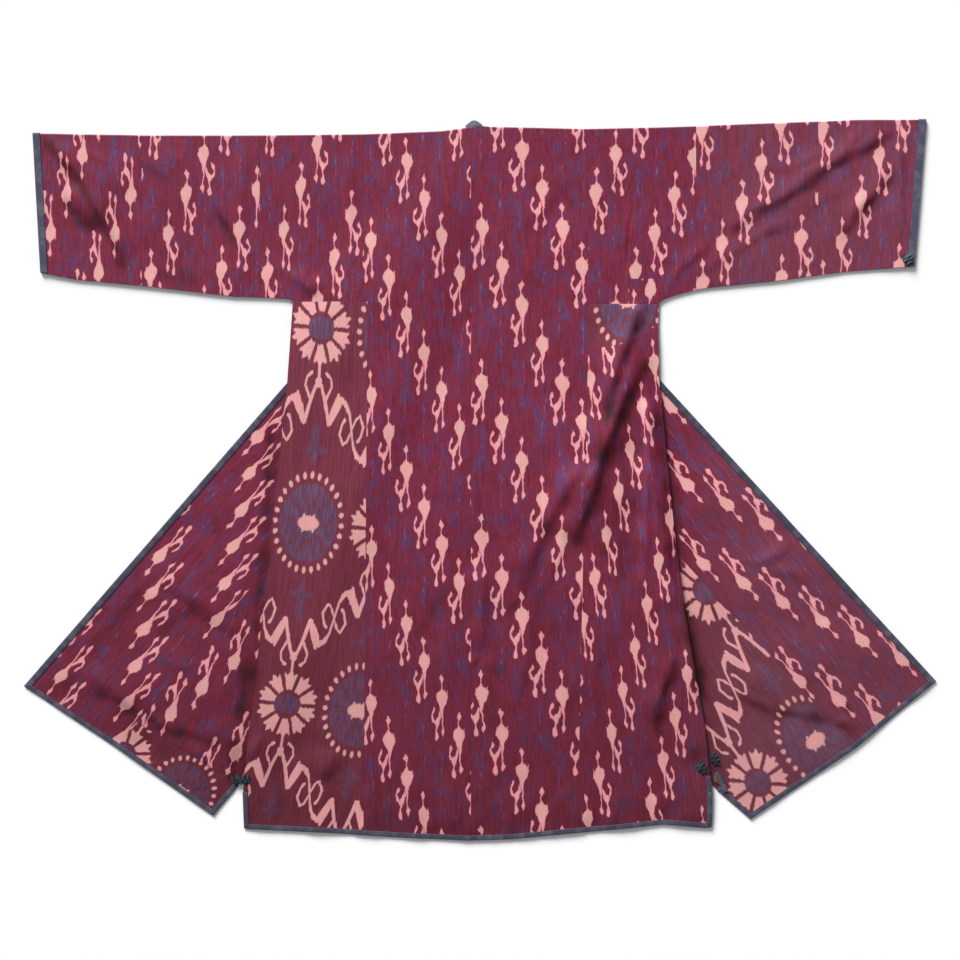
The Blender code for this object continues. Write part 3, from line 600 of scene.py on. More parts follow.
FIGURES, MEDALLIONS = Chart.FIGURES, Chart.MEDALLIONS
LOOMS: dict[str, Loom] = {
    "back_left": Loom(FIGURES, (-69.3, 438.8), pitch=31.7, period=277.2, rise=67.3),
    "back_right": Loom(FIGURES, (74.9, 314.9), pitch=36.2, period=280, rise=70.2),
    "sleeve_left_inner": Loom(FIGURES, (-321.7, 528.8), (0, 1), 30.2, 282.6, 77.4, True),
    "sleeve_left_middle": Loom(FIGURES, (-527.8, 515.4), (0, 1), 31.9, 279, 71.5, True),
    "sleeve_left_cuff": Loom(FIGURES, (-686.2, 372.2), (0, -1), 29, 279, 69.3, True),
    "sleeve_right_inner": Loom(FIGURES, (280.3, 376.3), (0, 1), 35.3, 279, 68.4, True),
    "sleeve_right_middle": Loom(FIGURES, (471.6, 498.2), (0, 1), 35.6, 279, 72, True),
    "sleeve_right_cuff": Loom(FIGURES, (685.3, 507.2), (0, 1), 34.2, 279, 77.4, True),
    "gusset": Loom(FIGURES, (306, 341.6), (0, -1), mirrored=True),
    "back_gore_right": Loom(FIGURES, (249.6, -20.5), (-0.105, 0.995), 29.3, 281, 74.5, True),
    "fan_left": Loom(FIGURES, (-428.9, -55.4), (-0.633, -0.774), 30.6, 278.3, 60.3),
    "fan_right": Loom(FIGURES, (475.2, -185.9), (0.633, -0.774), 33.5, 272, 71.6),
    "fan_gore_left": Loom(FIGURES, (-500.8, -374.1), (-0.39, -0.92), 34.2, 279, 64.8, True),
    "hip_left": Loom(FIGURES, (-280, 100), (0, -1), mirrored=True),
    "back_gore_left": Loom(MEDALLIONS, (-308.7, -77.9), (0.093, 0.996), period=338.7,
                           stretch=-0.1, bow=0.069),
    "patch": Loom(MEDALLIONS, (266.4, 323.6)),
    "fan_gore_right": Loom(MEDALLIONS, (603.4, -469.7), (0.588, -0.809), period=334),
    "hip_right": Loom(MEDALLIONS, (260, 60), (0, -1)),
    "fan_hem_left": Loom(MEDALLIONS, (-538.2, -562.8), (0.565, 0.825), 124, 256),
}


# ---------------- cut pieces


def path_shares(path: Array) -> Array:
    """How far along a path each of its points lies, from 0 to 1."""
    steps = norm(np.diff(path, axis=0), axis=1)
    return np.concatenate([[0.0], np.cumsum(steps)]) / steps.sum()


def along_path(path: Array, shares: Array) -> Array:
    """Points on a path at the given shares of its length."""
    at = path_shares(path)
    return np.stack([np.interp(shares, at, path[:, axis]) for axis in (0, 1)], axis=-1)


def plain_chart(plan: Array) -> Array:
    """Chart coordinates of a trim: the plan itself, in metres."""
    return plan * MM


def even_shares(length: float, step: float) -> Array:
    """Shares from 0 to 1 at even steps, with closer ones at both ends.

    Args:
        length: the length that the shares divide, in millimetres.
        step: the distance between the even ones.

    Returns:
        The shares in order.
    """
    count = max(4, round(length / step) + 1)
    near = np.asarray(EDGE_STEPS) / length
    even = np.linspace(0, 1, count)
    even = even[(even > near[-1] + 1.5 / length) & (even < 1 - near[-1] - 1.5 / length)]
    return np.concatenate([near, even, 1 - near[::-1]])


def ruled(
    edge_a: Sequence[Point],
    edge_b: Sequence[Point],
    columns: Array | None = None,
    step: float = STEP,
) -> tuple[Array, Array]:
    """Rows of straight lines from one edge of a piece to the other, with a row at each corner.

    A point is edge_a's at the row's share of its length, moved towards edge_b's by the
    column's share. Both edges first move half a seam gap towards each other.

    Args:
        edge_a: the corners of one edge.
        edge_b: the corners of the other.
        columns: the shares across, or None for even ones.
        step: the distance between rows, and between even columns.

    Returns:
        The rows of points, and their shares.
    """
    first, second = np.asarray(edge_a, float), np.asarray(edge_b, float)
    length = max(float(norm(np.diff(e, axis=0), axis=1).sum()) for e in (first, second))
    shares = even_shares(length, step)
    corners = np.concatenate([path_shares(first), path_shares(second)])[:, None]
    spare = np.abs(shares - corners).min(axis=0) > 0.3 * step / length
    spare[:4] = spare[-4:] = True
    inner = corners[(corners > 3.5 / length) & (corners < 1 - 3.5 / length)]
    shares = np.unique(np.round(np.concatenate([shares[spare], inner]), 6))
    side_a, side_b = along_path(first, shares), along_path(second, shares)
    towards = side_b.mean(axis=0) - side_a.mean(axis=0)
    towards = towards / norm(towards) * SEAM_GAP * 0.65
    side_a, side_b = side_a + towards, side_b - towards
    if columns is None:
        width = float(norm(side_b - side_a, axis=1).max())
        columns = even_shares(width, step)
    return side_a[:, None] * (1 - columns[:, None]) + side_b[:, None] * columns[:, None], shares


def meet(rows: Array, shares: Array, start: Array | None = None, end: Array | None = None) -> Array:
    """Bend the first row onto the curve start and the last row onto the curve end.

    Args:
        rows: rows of plan points.
        shares: each row's share of the way.
        start: the curve that the first row meets.
        end: the curve that the last row meets.

    Returns:
        The bent rows. The change fades evenly towards the other end.
    """
    rows = rows.copy()
    for curve, index, weight in ((start, 0, 1 - shares), (end, -1, shares)):
        if curve is not None:
            wanted = heights_on(curve, rows[index, :, 0])
            rows[..., 1] += (wanted - rows[index, :, 1]) * weight[:, None]
    return rows


@dataclass(frozen=True)
class Layer:
    """One layer of a cut piece: its rows in plan, what it lies on and its chart."""

    rows: Array
    underside: Heights
    warp: Warp


def surface_normals(points: Array, facing: float) -> Array:
    """Normals of one layer: the cross product of its two gradients, turned to face out.

    Args:
        points: rows of points in space.
        facing: 1 where the cloth's face is up and -1 where it is down.

    Returns:
        Unit normals in the same shape.
    """
    normals = np.cross(np.gradient(points, axis=0), np.gradient(points, axis=1))
    length = norm(normals, axis=-1, keepdims=True)
    normals = normals / np.maximum(length, 1e-9)
    return normals * np.sign(normals[..., 2:3] + 1e-12) * facing


def turned(first: Array, last: Array, low: Array, high: Array, facing: float) -> tuple:
    """The round fold between two layers: a half circle over the edge row of both.

    Args:
        first: the row before the edge row, which shows which way is out.
        last: the edge row.
        low: the heights it turns from.
        high: the heights it turns to.
        facing: 1 where the layer it leaves faces up.

    Returns:
        The rows of the fold between the layers, and their normals.
    """
    tangent = np.gradient(last, axis=0)
    bulge = np.stack([-tangent[:, 1], tangent[:, 0]], axis=1)
    bulge /= norm(bulge, axis=1)[:, None]
    bulge *= np.sign(((last - first) * bulge).sum(axis=1))[:, None]
    middle, radius = (low + high) / 2, (low - high) / 2
    angles = np.linspace(0, math.pi, FOLD_STEPS + 1)[1:-1, None]
    reach = np.abs(radius) * np.sin(angles)
    rows = np.concatenate(
        [last + bulge * reach[..., None], (middle + radius * np.cos(angles))[..., None]], axis=-1
    )
    level = np.broadcast_to(np.cos(angles), reach.shape)[..., None]
    normals = facing * np.concatenate([bulge * np.sin(angles)[..., None], level], axis=-1)
    return rows, normals


def quad_corners(grid: Array) -> Array:
    """The four corners of each quad of a grid, round the quad, on a new third axis."""
    return np.stack([grid[:-1, :-1], grid[:-1, 1:], grid[1:, 1:], grid[1:, :-1]], axis=2)


@dataclass
class CutPiece:
    """One cut piece of cloth as a closed wall, with its charts and both its faces."""

    name: str
    layers: list[Layer]
    finish: Material
    lining: Material
    thickness: float = CLOTH
    soft_edge: float = 1.1
    facing: float = 1.0
    size: tuple[float, float] = field(init=False, default=(0.0, 0.0))
    area: float = field(init=False, default=0.0)

    def middle(self) -> tuple[Array, Array, Array]:
        """The middle surface of all layers, with round folds between them.

        Returns:
            Points, normals, and the layer that each row belongs to.
        """
        points, normals, owners, facing = [], [], [], self.facing
        before: tuple[Array, Array] | None = None
        for order, layer in enumerate(self.layers):
            height = layer.underside(layer.rows) + self.thickness / 2
            here = np.concatenate([layer.rows, height[..., None]], axis=-1)
            if before is not None:
                rows, heights = before
                fold, tilt = turned(rows[-2], rows[-1], heights[-1], height[0], facing)
                points.append(fold)
                normals.append(tilt)
                owners += [order] * len(fold)
                facing = -facing
            points.append(here)
            normals.append(surface_normals(here, facing))
            owners += [order] * len(here)
            before = layer.rows, height
        return np.concatenate(points), np.concatenate(normals), np.array(owners)

    def unfolded(self) -> Array:
        """The cut piece in one plane: each layer is turned over onto the edge of the last.

        The turn is the reflection and rotation that best carry a layer's first row onto the
        last row of the layer before.

        Returns:
            The plan points of all layers.
        """
        opened = [self.layers[0].rows]
        for order, layer in enumerate(self.layers[1:]):
            mirror = np.array([1.0, -1.0]) if order % 2 == 0 else np.ones(2)
            rows, target = layer.rows * mirror, opened[-1][-1]
            first, second = rows[0] - rows[0].mean(axis=0), target - target.mean(axis=0)
            turn = math.atan2(
                float((first[:, 0] * second[:, 1] - first[:, 1] * second[:, 0]).sum()),
                float((first * second).sum()),
            )
            opened.append((rows - rows[0].mean(axis=0)) @ rotation(turn).T + target.mean(axis=0))
        return np.concatenate([rows.reshape(-1, 2) for rows in opened])

    def measure(self, points: Array) -> None:
        """Keep the cut size: the narrowest rectangle round the unfolded piece, and its area."""
        flat, best = self.unfolded(), math.inf
        for turn in np.linspace(0, math.pi / 2, 91):
            extent = np.ptp(flat @ rotation(turn), axis=0)
            if extent.prod() < best:
                best = float(extent.prod())
                self.size = (float(extent.min()) * MM, float(extent.max()) * MM)
        side_a = points[1:, 1:] - points[:-1, :-1]
        side_b = points[1:, :-1] - points[:-1, 1:]
        self.area = float(norm(np.cross(side_a, side_b), axis=-1).sum() / 2) * MM**2

    def edge_distance(self, points: Array) -> Array:
        """How far each point of the surface lies from the nearest cut edge."""
        down = norm(np.diff(points, axis=0), axis=-1)
        across = norm(np.diff(points, axis=1), axis=-1)
        top = np.concatenate([np.zeros((1, points.shape[1])), np.cumsum(down, axis=0)])
        left = np.concatenate([np.zeros((len(points), 1)), np.cumsum(across, axis=1)], axis=1)
        return np.minimum.reduce([top, top[-1] - top, left, left[:, -1:] - left])

    def chart_corners(self, points: Array, owners: Array) -> Array:
        """Chart coordinates at the four corners of each quad, from the quad's own layer.

        Args:
            points: the middle surface.
            owners: the layer of each row. A quad takes that of its later row.

        Returns:
            An array of quad rows, quad columns, four corners and two coordinates.
        """
        corners = quad_corners(points[..., :2])
        charts = np.zeros_like(corners)
        for order, layer in enumerate(self.layers):
            mine = owners[1:] == order
            charts[mine] = layer.warp(corners[mine])
        return charts

    def shades(self, points: Array, owners: Array) -> Array:
        """The shade of each point of the middle surface, from its own layer's heights."""
        values = np.zeros(points.shape[:2])
        for order, layer in enumerate(self.layers):
            mine = owners == order
            values[mine] = shade(points[mine][..., :2], layer.underside)
        return values

    def build(self) -> Object:
        """The closed wall: both faces are the middle surface moved along its normals.

        Near a cut edge the wall thins as a quarter circle does, so that sewn pieces meet in
        a soft valley. The back of the cloth takes the lining's finish.

        Returns:
            The piece's object.
        """
        points, normals, owners = self.middle()
        self.measure(points)
        edge = self.edge_distance(points)
        round_off = np.sqrt(np.clip(1 - (1 - np.clip(edge / self.soft_edge, 0, 1)) ** 2, 0, 1))
        half = (self.thickness / 2 * (0.88 + 0.12 * round_off))[..., None]
        dip = 0.04 * np.exp(-((edge / 4.0) ** 2))[..., None]
        outer, inner = points + normals * (half - dip * (half > 0.5)), points - normals * half
        rows, columns = points.shape[:2]
        index = np.arange(rows * columns).reshape(rows, columns)
        quads = quad_corners(index).reshape(-1, 4)
        rim = np.concatenate([index[0], index[1:, -1], index[-1, -2::-1], index[-2:0:-1, 0]])
        following = np.roll(rim, -1)
        walls = np.stack([rim, rim + index.size, following + index.size, following], axis=-1)
        charts = self.chart_corners(points, owners)
        edge_charts = np.zeros((rows, columns, 2))
        edge_charts[:-1, :-1], edge_charts[:-1, -1] = charts[..., 0, :], charts[:, -1, 1]
        edge_charts[-1, :-1], edge_charts[-1, -1] = charts[-1, :, 3], charts[-1, -1, 2]
        flat = edge_charts.reshape(-1, 2)
        faces = np.concatenate([quads, quads[:, ::-1] + index.size, walls])
        charts = charts.reshape(-1, 4, 2)
        rim_charts = np.stack([flat[rim], flat[rim], flat[following], flat[following]], axis=1)
        corner_charts = np.concatenate([charts, charts[:, ::-1], rim_charts])
        vertices = np.concatenate([outer.reshape(-1, 3), inner.reshape(-1, 3)])
        slots = np.repeat([0, 1, 0], [len(quads), len(quads), len(rim)])
        shades = np.tile(self.shades(points, owners).ravel(), 2)
        return make_mesh(self.name, vertices, faces, [self.finish, self.lining], slots, corner_charts,
                         shades, len(walls))

    def put(self, node: str, slot: str) -> Made:
        """Build the piece in its node's place."""
        return place(self.build(), node, slot), self


Made = tuple[Object, CutPiece]


def add_object(name: str, data: bpy.types.ID) -> Object:
    """A new object in the scene."""
    made = bpy.data.objects.new(name, data)
    bpy.context.scene.collection.objects.link(made)
    return made


def make_mesh(
    name: str,
    vertices: Array,
    faces: Array,
    finishes: Sequence[Material],
    slots: Array | None = None,
    charts: Array | None = None,
    shades: Array | None = None,
    flat: int = 0,
) -> Object:
    """A smooth-shaded object from quads, turned inside out if its volume is negative.

    Args:
        name: the object's name.
        vertices: points in millimetres.
        faces: rows of four indices.
        finishes: the materials, in slot order.
        slots: the slot of each face.
        charts: the UV of each corner of each face.
        shades: the painted shade at each point, kept as the Shade attribute.
        flat: how many of the last faces are cut edges, which stay flat.

    Returns:
        The object, at the origin.
    """
    corner = vertices[faces]
    signed = np.einsum("ij,ij->i", corner[:, 0], np.cross(corner[:, 1], corner[:, 2]))
    signed += np.einsum("ij,ij->i", corner[:, 0], np.cross(corner[:, 2], corner[:, 3]))
    if signed.sum() < 0:
        faces = faces[:, ::-1]
        charts = None if charts is None else charts[:, ::-1]
    mesh = bpy.data.meshes.new(name)
    mesh.vertices.add(len(vertices))
    mesh.vertices.foreach_set("co", (vertices * MM).astype(np.float32).ravel())
    mesh.loops.add(faces.size)
    mesh.loops.foreach_set("vertex_index", faces.astype(np.int32).ravel())
    mesh.polygons.add(len(faces))
    mesh.polygons.foreach_set("loop_start", np.arange(0, faces.size, 4, dtype=np.int32))
    for finish in finishes:
        mesh.materials.append(finish)
    if slots is not None:
        mesh.polygons.foreach_set("material_index", slots.astype(np.int32))
    if charts is not None:
        layer = mesh.uv_layers.new(name="Chart")
        layer.data.foreach_set("uv", charts.astype(np.float32).ravel())
    if shades is not None:
        layer = mesh.attributes.new("Shade", "FLOAT", "POINT")
        layer.data.foreach_set("value", shades.astype(np.float32).ravel())
    mesh.update(calc_edges=True)
    mesh.validate()
    mesh.polygons.foreach_set("use_smooth", np.arange(len(faces)) < len(faces) - flat)
    return add_object(name, mesh)


def place(piece: Object, node: str | None, slot: str) -> Object:
    """Let a piece ride with the robe, and hide its node's part if it has one."""
    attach(piece, "root")
    if node:
        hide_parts(node)
    LOG.info("%s: %d faces", piece.name, len(piece.data.polygons))
    return piece


# ---------------- shader arithmetic


def operator(kind: str, swapped: bool = False) -> Callable[..., Value]:
    """An operator of Value that adds one Math node, with its two sides swapped if asked."""

    def apply(self: Value, *others: Value | float) -> Value:
        return self.graph.math(kind, *((*others, self) if swapped else (self, *others)))

    return apply


class Value:
    """A shader number that takes part in Python arithmetic: each operator adds its Math node."""

    def __init__(self, graph: Graph, socket: bpy.types.NodeSocket) -> None:
        """Wrap one socket of a graph."""
        self.graph, self.socket = graph, socket

    def math(self, kind: str, *others: Value | float) -> Value:
        """This value and others through one Math node."""
        return self.graph.math(kind, self, *others)

    __add__ = __radd__ = operator("ADD")
    __sub__, __rsub__ = operator("SUBTRACT"), operator("SUBTRACT", swapped=True)
    __mul__ = __rmul__ = operator("MULTIPLY")
    __truediv__, __rtruediv__ = operator("DIVIDE"), operator("DIVIDE", swapped=True)
    __pow__, __abs__, floor = operator("POWER"), operator("ABSOLUTE"), operator("FLOOR")
    over, under = operator("MAXIMUM"), operator("MINIMUM")

    def wrapped(self, period: float) -> Value:
        """This value brought within half a period of 0."""
        return self.math("WRAP", period / 2, -period / 2)

    def rise(self, low: float, high: float) -> Value:
        """Ease from 0 at low to 1 at high, or back where low is the larger."""
        if low > high:
            return 1 - self.rise(high, low)
        kind = {"interpolation_type": "SMOOTHSTEP"}
        return self.graph.node("ShaderNodeMapRange", kind, {0: self, 1: low, 2: high})


Input = Value | float | tuple | bpy.types.NodeSocket


class Graph:
    """A material under construction."""

    def __init__(self, name: str) -> None:
        """Start a material with its Principled BSDF."""
        self.material = bpy.data.materials.new(name)
        self.material.use_nodes = True
        self.tree = self.material.node_tree
        self.shader = self.tree.nodes["Principled BSDF"]

    def node(self, kind: str, settings: dict, inputs: dict, output: int | str = 0) -> Value:
        """Add one node: its settings first, then its sockets.

        Args:
            kind: the node's type.
            settings: its properties, or the stops of a ramp under "stops".
            inputs: a value or a link for each socket, by name or number.
            output: which output is returned.

        Returns:
            The output, ready for arithmetic.
        """
        made = self.tree.nodes.new(kind)
        for key, value in settings.items():
            if key == "stops":
                self.fill_ramp(made.color_ramp, value)
            else:
                setattr(made, key, value)
        for key, value in inputs.items():
            self.feed(made.inputs[key], value)
        return Value(self, made.outputs[output])

    def feed(self, socket: bpy.types.NodeSocket, value: Input) -> None:
        """Link a value to a socket, or set the socket to it."""
        if isinstance(value, Value):
            self.tree.links.new(value.socket, socket)
        elif isinstance(value, bpy.types.NodeSocket):
            self.tree.links.new(value, socket)
        elif isinstance(value, tuple) and len(value) == 3 and socket.type == "RGBA":
            socket.default_value = (*value, 1.0)
        else:
            socket.default_value = value

    @staticmethod
    def fill_ramp(ramp: bpy.types.ColorRamp, stops: Sequence[tuple[float, tuple]]) -> None:
        """Give a ramp its stops: (place, colour with alpha) pairs."""
        ramp.interpolation = "LINEAR"
        while len(ramp.elements) < len(stops):
            ramp.elements.new(1.0)
        for element, (at, colour) in zip(ramp.elements, stops):
            element.position, element.color = at, colour

    def math(self, operation: str, *values: Value | float) -> Value:
        """One Math node."""
        return self.node("ShaderNodeMath", {"operation": operation}, dict(enumerate(values)))

    def mix(self, share: Value | float, first: Input, second: Input, blend: str = "MIX") -> Value:
        """First colour where share is 0, second where it is 1."""
        kind = {"data_type": "RGBA", "blend_type": blend}
        return self.node("ShaderNodeMix", kind, {0: share, 6: first, 7: second}, 2)

    def vector(self, x: Value | float, y: Value | float, z: Value | float = 0.0) -> Value:
        """Three numbers as one vector."""
        return self.node("ShaderNodeCombineXYZ", {}, {0: x, 1: y, 2: z})

    def noise(self, place: Value, detail: float = 1.0) -> Value:
        """Soft noise from 0 to 1 at a place."""
        inputs = {"Vector": place, "Scale": 1.0, "Detail": detail, "Roughness": 0.5}
        return self.node("ShaderNodeTexNoise", {"noise_dimensions": "2D"}, inputs)

    def chance(self, place: Value) -> Value:
        """A random number from 0 to 1 for each whole place."""
        return self.node("ShaderNodeTexWhiteNoise", {"noise_dimensions": "2D"}, {"Vector": place})

    def parts(self, kind: str, whole: Value) -> list[Value]:
        """The parts of a vector or a colour, by a Separate node."""
        first = self.node(f"ShaderNodeSeparate{kind}", {}, {0: whole})
        return [Value(self, output) for output in first.socket.node.outputs]

    def chart_place(self) -> tuple[Value, Value]:
        """The piece's own chart coordinates, across and along the warp, in millimetres."""
        across, along, _ = self.parts("XYZ", self.node("ShaderNodeUVMap", {"uv_map": "Chart"}, {}))
        return across * 1000.0, along * 1000.0

    def object_place(self) -> list[Value]:
        """The point on the robe, in metres."""
        return self.parts("XYZ", self.node("ShaderNodeTexCoord", {}, {}, "Object"))

    def bump(self, height: Value, distance: float, strength: float = 1.0) -> Value:
        """A Bump node's normal for a height from 0 to 1."""
        inputs = {"Strength": strength, "Distance": distance, "Height": height}
        return self.node("ShaderNodeBump", {}, inputs)

    def finish(self, constants: dict[str, Input], **fed: Value) -> Material:
        """Set the shader's own sockets, and feed those that vary, whose names have underscores."""
        varying = {key.replace("_", " "): value for key, value in fed.items()}
        for key, value in (constants | varying).items():
            self.feed(self.shader.inputs[key], value)
        return self.material


def srgb(red: float, green: float, blue: float) -> tuple[float, float, float]:
    """A screen colour, 0 to 255, as linear light."""

    def linear(part: float) -> float:
        part /= 255.0
        return part / 12.92 if part <= 0.04045 else ((part + 0.055) / 1.055) ** 2.4

    return linear(red), linear(green), linear(blue)


# ---------------- finishes

LOOM_UNIT = 1.8  # the charts' own unit in millimetres


class FigureRow(NamedTuple):
    """One row of the small figure's chart: for each stroke, its centre and half width."""

    down: float
    spine: float
    spine_half: float
    foot: float
    foot_half: float
    hook: float
    hook_half: float


FIGURE_CHART = tuple(FigureRow(*row) for row in (
    (-24.5, -0.3, -0.6, -6.0, -1.0, 6.0, -1.0),
    (-23.5, -0.3, 0.3, -6.0, -1.0, 6.0, -1.0),
    (-19.5, -0.2, 2.4, -6.0, -1.0, 6.0, -1.0),
    (-16.6, -0.1, 1.2, -6.0, -1.0, 6.0, -1.0),
    (-14.6, -0.1, 0.4, -6.0, -1.0, 6.0, -1.0),
    (-10.0, 0.0, 0.4, -6.0, -1.0, 6.4, -0.8),
    (-7.8, 0.1, 1.6, -6.0, -0.7, 6.2, -0.4),
    (-5.6, 0.1, 4.0, -5.2, -0.2, 5.6, 0.3),
    (-3.4, 0.2, 5.5, -5.0, 0.2, 5.2, 0.5),
    (-0.6, 0.3, 6.2, -5.0, -1.0, 3.0, -1.0),
    (2.0, 0.5, 6.0, -5.0, -1.0, -8.3, -1.0),
    (5.2, 0.7, 4.7, -5.0, -1.0, -8.3, -1.0),
    (8.6, 0.8, 2.9, -4.4, -1.0, -8.3, -0.6),
    (9.6, 0.8, 2.5, -3.6, -1.0, -8.3, 0.4),
    (11.6, 0.8, 2.1, -3.0, -1.0, -8.3, 1.3),
    (14.2, 0.9, 1.6, -1.6, 0.6, -9.0, 1.5),
    (16.6, 1.0, 1.2, -1.8, 1.2, -10.3, 0.8),
    (18.8, 1.1, 0.8, -2.4, 1.6, -10.2, 0.8),
    (21.2, 1.1, 0.6, -3.9, 2.2, -9.6, 1.2),
    (23.4, 1.1, 0.6, -5.2, 3.1, -8.8, 1.5),
    (26.0, 1.2, 0.5, -5.4, 2.4, -8.0, -0.8),
    (29.0, 1.5, 0.5, -5.4, 0.9, -8.0, -1.0),
    (31.2, 1.8, 0.8, -5.5, 0.5, -8.0, -1.0),
    (33.4, 1.9, 1.9, -5.6, 0.8, -8.0, -1.0),
    (36.0, 1.6, 1.5, -5.7, 1.7, -8.0, -1.0),
    (39.2, 1.4, 0.0, -5.7, 2.0, -8.0, -1.0),
    (41.4, 1.4, -0.8, -5.7, 1.6, -8.0, -1.0),
    (43.6, 1.4, -1.0, -5.7, -0.8, -8.0, -1.0),
))
FIGURE_SPAN = (-26.0, 46.0)
OFFSET_RANGE, HALF_RANGE = 24.0, 12.0


@dataclass(frozen=True)
class Dyes:
    """The silk's dyed colours."""

    wine: tuple = srgb(117, 33, 55)
    magenta: tuple = srgb(127, 26, 64)
    crimson: tuple = srgb(140, 32, 56)
    brown: tuple = srgb(92, 23, 38)
    plum: tuple = srgb(119, 45, 65)
    plum_dark: tuple = srgb(96, 33, 50)
    slate: tuple = srgb(104, 75, 106)
    slate_dark: tuple = srgb(88, 52, 82)
    violet: tuple = srgb(100, 41, 78)
    blue: tuple = srgb(92, 51, 92)
    lilac: tuple = srgb(142, 104, 146)
    blush: tuple = srgb(200, 104, 122)
    pink: tuple = srgb(228, 144, 154)
    apricot: tuple = srgb(227, 167, 160)
    beige: tuple = srgb(204, 163, 152)
    hem_dark: tuple = srgb(64, 8, 20)
    dusk: tuple = srgb(150, 88, 96)
    faded: tuple = srgb(126, 98, 112)


class Silk:
    """What both silks share: threads, weave, sheen and how the dye bled. Sizes in millimetres."""

    warp_pitch, weft_pitch = 0.62, 0.7
    bundle_slip, thread_slip = 5.0, 4.5
    roughness, specular = 0.44, 0.3
    relief, relief_strength = 0.2, 0.4
    # how much the painted shade darkens the colour, and the darkest level
    shade_depth, darkest = 0.55, 0.02

    def __init__(self, name: str) -> None:
        """Start the material and its threads."""
        self.dyes = Dyes()
        self.graph = Graph(name)
        self.across, self.along = self.graph.chart_place()
        self.bundle = self.streaks(0.42, 0.012)
        self.thread = self.streaks(1.6, 0.03)

    def streaks(self, across: float, along: float) -> Value:
        """Noise drawn out along the warp, from its two frequencies per millimetre."""
        return self.graph.noise(self.graph.vector(self.across * across, self.along * along))

    def bled(self) -> Value:
        """The place along the warp as each thread has it: bundles slip by a few millimetres."""
        return self.along + (self.bundle - 0.5) * self.bundle_slip + (self.thread - 0.5) * self.thread_slip

    def wander(self, scale: float, reach: float) -> Value:
        """How far a figure's edge has moved sideways: soft noise of a scale and a reach."""
        return (self.streaks(scale, scale) - 0.5) * (2 * reach)

    def oval(self, x: Value, y: Value, half_x: float, half_y: float, soft: float) -> Value:
        """1 inside an oval about the origin, easing out over a share of its radius."""
        radius = ((x / half_x) ** 2 + (y / half_y) ** 2) ** 0.5
        return radius.rise(1 + soft, 1 - soft)

    def polar(self, x: Value, y: Value, half: Point, parts: int) -> tuple[Value, Value]:
        """The radius of a point as a share of an oval's, and its angle in parts of a turn."""
        angle = y.math("ARCTAN2", x * (half[1] / half[0]))
        radius = ((x / half[0]) ** 2 + (y / half[1]) ** 2) ** 0.5
        return radius, angle * (parts / TURN)

    def line(self, x: Value, y: Value, start: Point, end: Point, half: Point, bleed: float) -> Value:
        """A straight brush stroke: the distance to a segment against its changing half width.

        Args:
            x: place across, in loom units.
            y: place along.
            start: one end of the stroke.
            end: the other end.
            half: its half widths at both ends.
            bleed: how soft its edge is.

        Returns:
            1 on the stroke, 0 off it.
        """
        run_x, run_y = end[0] - start[0], end[1] - start[1]
        square = run_x**2 + run_y**2
        share = ((x - start[0]) * (run_x / square) + (y - start[1]) * (run_y / square)).over(0).under(1)
        gap_x = x - start[0] - share * run_x
        gap_y = y - start[1] - share * run_y
        distance = (gap_x * gap_x + gap_y * gap_y) ** 0.5
        wide = share * (half[1] - half[0]) + half[0]
        return (wide - distance).rise(-bleed / 2, bleed / 2)

    def dressed(self, ground: Value, pale: Value, figures: Value, wear: float) -> Material:
        """Give the dyed colours their threads, weave, sheen, darkening towards the hem and painted shade.

        Args:
            ground: the ground's colour. It is darker towards the hem, and faded on one side.
            pale: where the pale figures are.
            figures: their colour.
            wear: how much the ground wanders from thread to thread.

        Returns:
            The finished material.
        """
        graph, dyes = self.graph, self.dyes
        fine = self.streaks(3.1, 0.05)
        slub = self.streaks(0.03, 1.1)
        side, depth, _ = graph.object_place()
        towards_hem = depth.rise(0.15, -0.6) * 0.45 + depth.rise(-0.5, -0.66) * self.bundle * 0.35
        ground = graph.mix(towards_hem, ground, dyes.hem_dark)
        ground = graph.mix(side.rise(0.33, 0.5) * 0.14, ground, dyes.faded)
        figures = graph.mix(depth.rise(0.1, -0.6) * 0.34, figures, dyes.dusk)
        worn = 1 - pale * 0.55
        tone = 1 - worn * ((fine - 0.5) * (wear * 0.9) + (self.thread - 0.5) * wear)
        tone = tone - (slub - 0.5) * 0.2 - (self.bundle - 0.5) * worn * 0.25
        # Painted shade: the Shade attribute darkens the colour in hollows, on slopes away from the light
        # and beside the back's edges, and pale figures half as much.
        shade = graph.node("ShaderNodeAttribute", {"attribute_name": "Shade"}, {}, "Fac")
        shade = shade * (1 - pale * 0.5) * (0.8 + self.bundle * 0.4)
        colour = graph.mix(pale, ground, figures)
        for level in (tone, 1 - shade * self.shade_depth):
            colour = graph.mix(1.0, colour, self.reddened(level, pale), "MULTIPLY")
        warp = (self.across * (TURN / self.warp_pitch)).math("SINE")
        weft = (self.along * (TURN / self.weft_pitch)).math("SINE")
        ribs = warp * weft * 0.25 + slub * 0.5 + fine * 0.4
        rough = self.roughness + (fine - 0.5) * 0.18 + (slub - 0.5) * 0.1
        return graph.finish({"Specular IOR Level": self.specular}, Base_Color=colour, Roughness=rough,
                            Normal=graph.bump(ribs, self.relief * MM, self.relief_strength))

    def reddened(self, level: Value, pale: Value) -> Value:
        """A level of lightness as a colour: on the ground, the deeper it is, the redder."""
        level = level.over(self.darkest)
        return self.graph.node("ShaderNodeCombineColor", {},
                               {0: level, 1: level ** (2 - pale), 2: level ** (1.6 - pale * 0.6)})


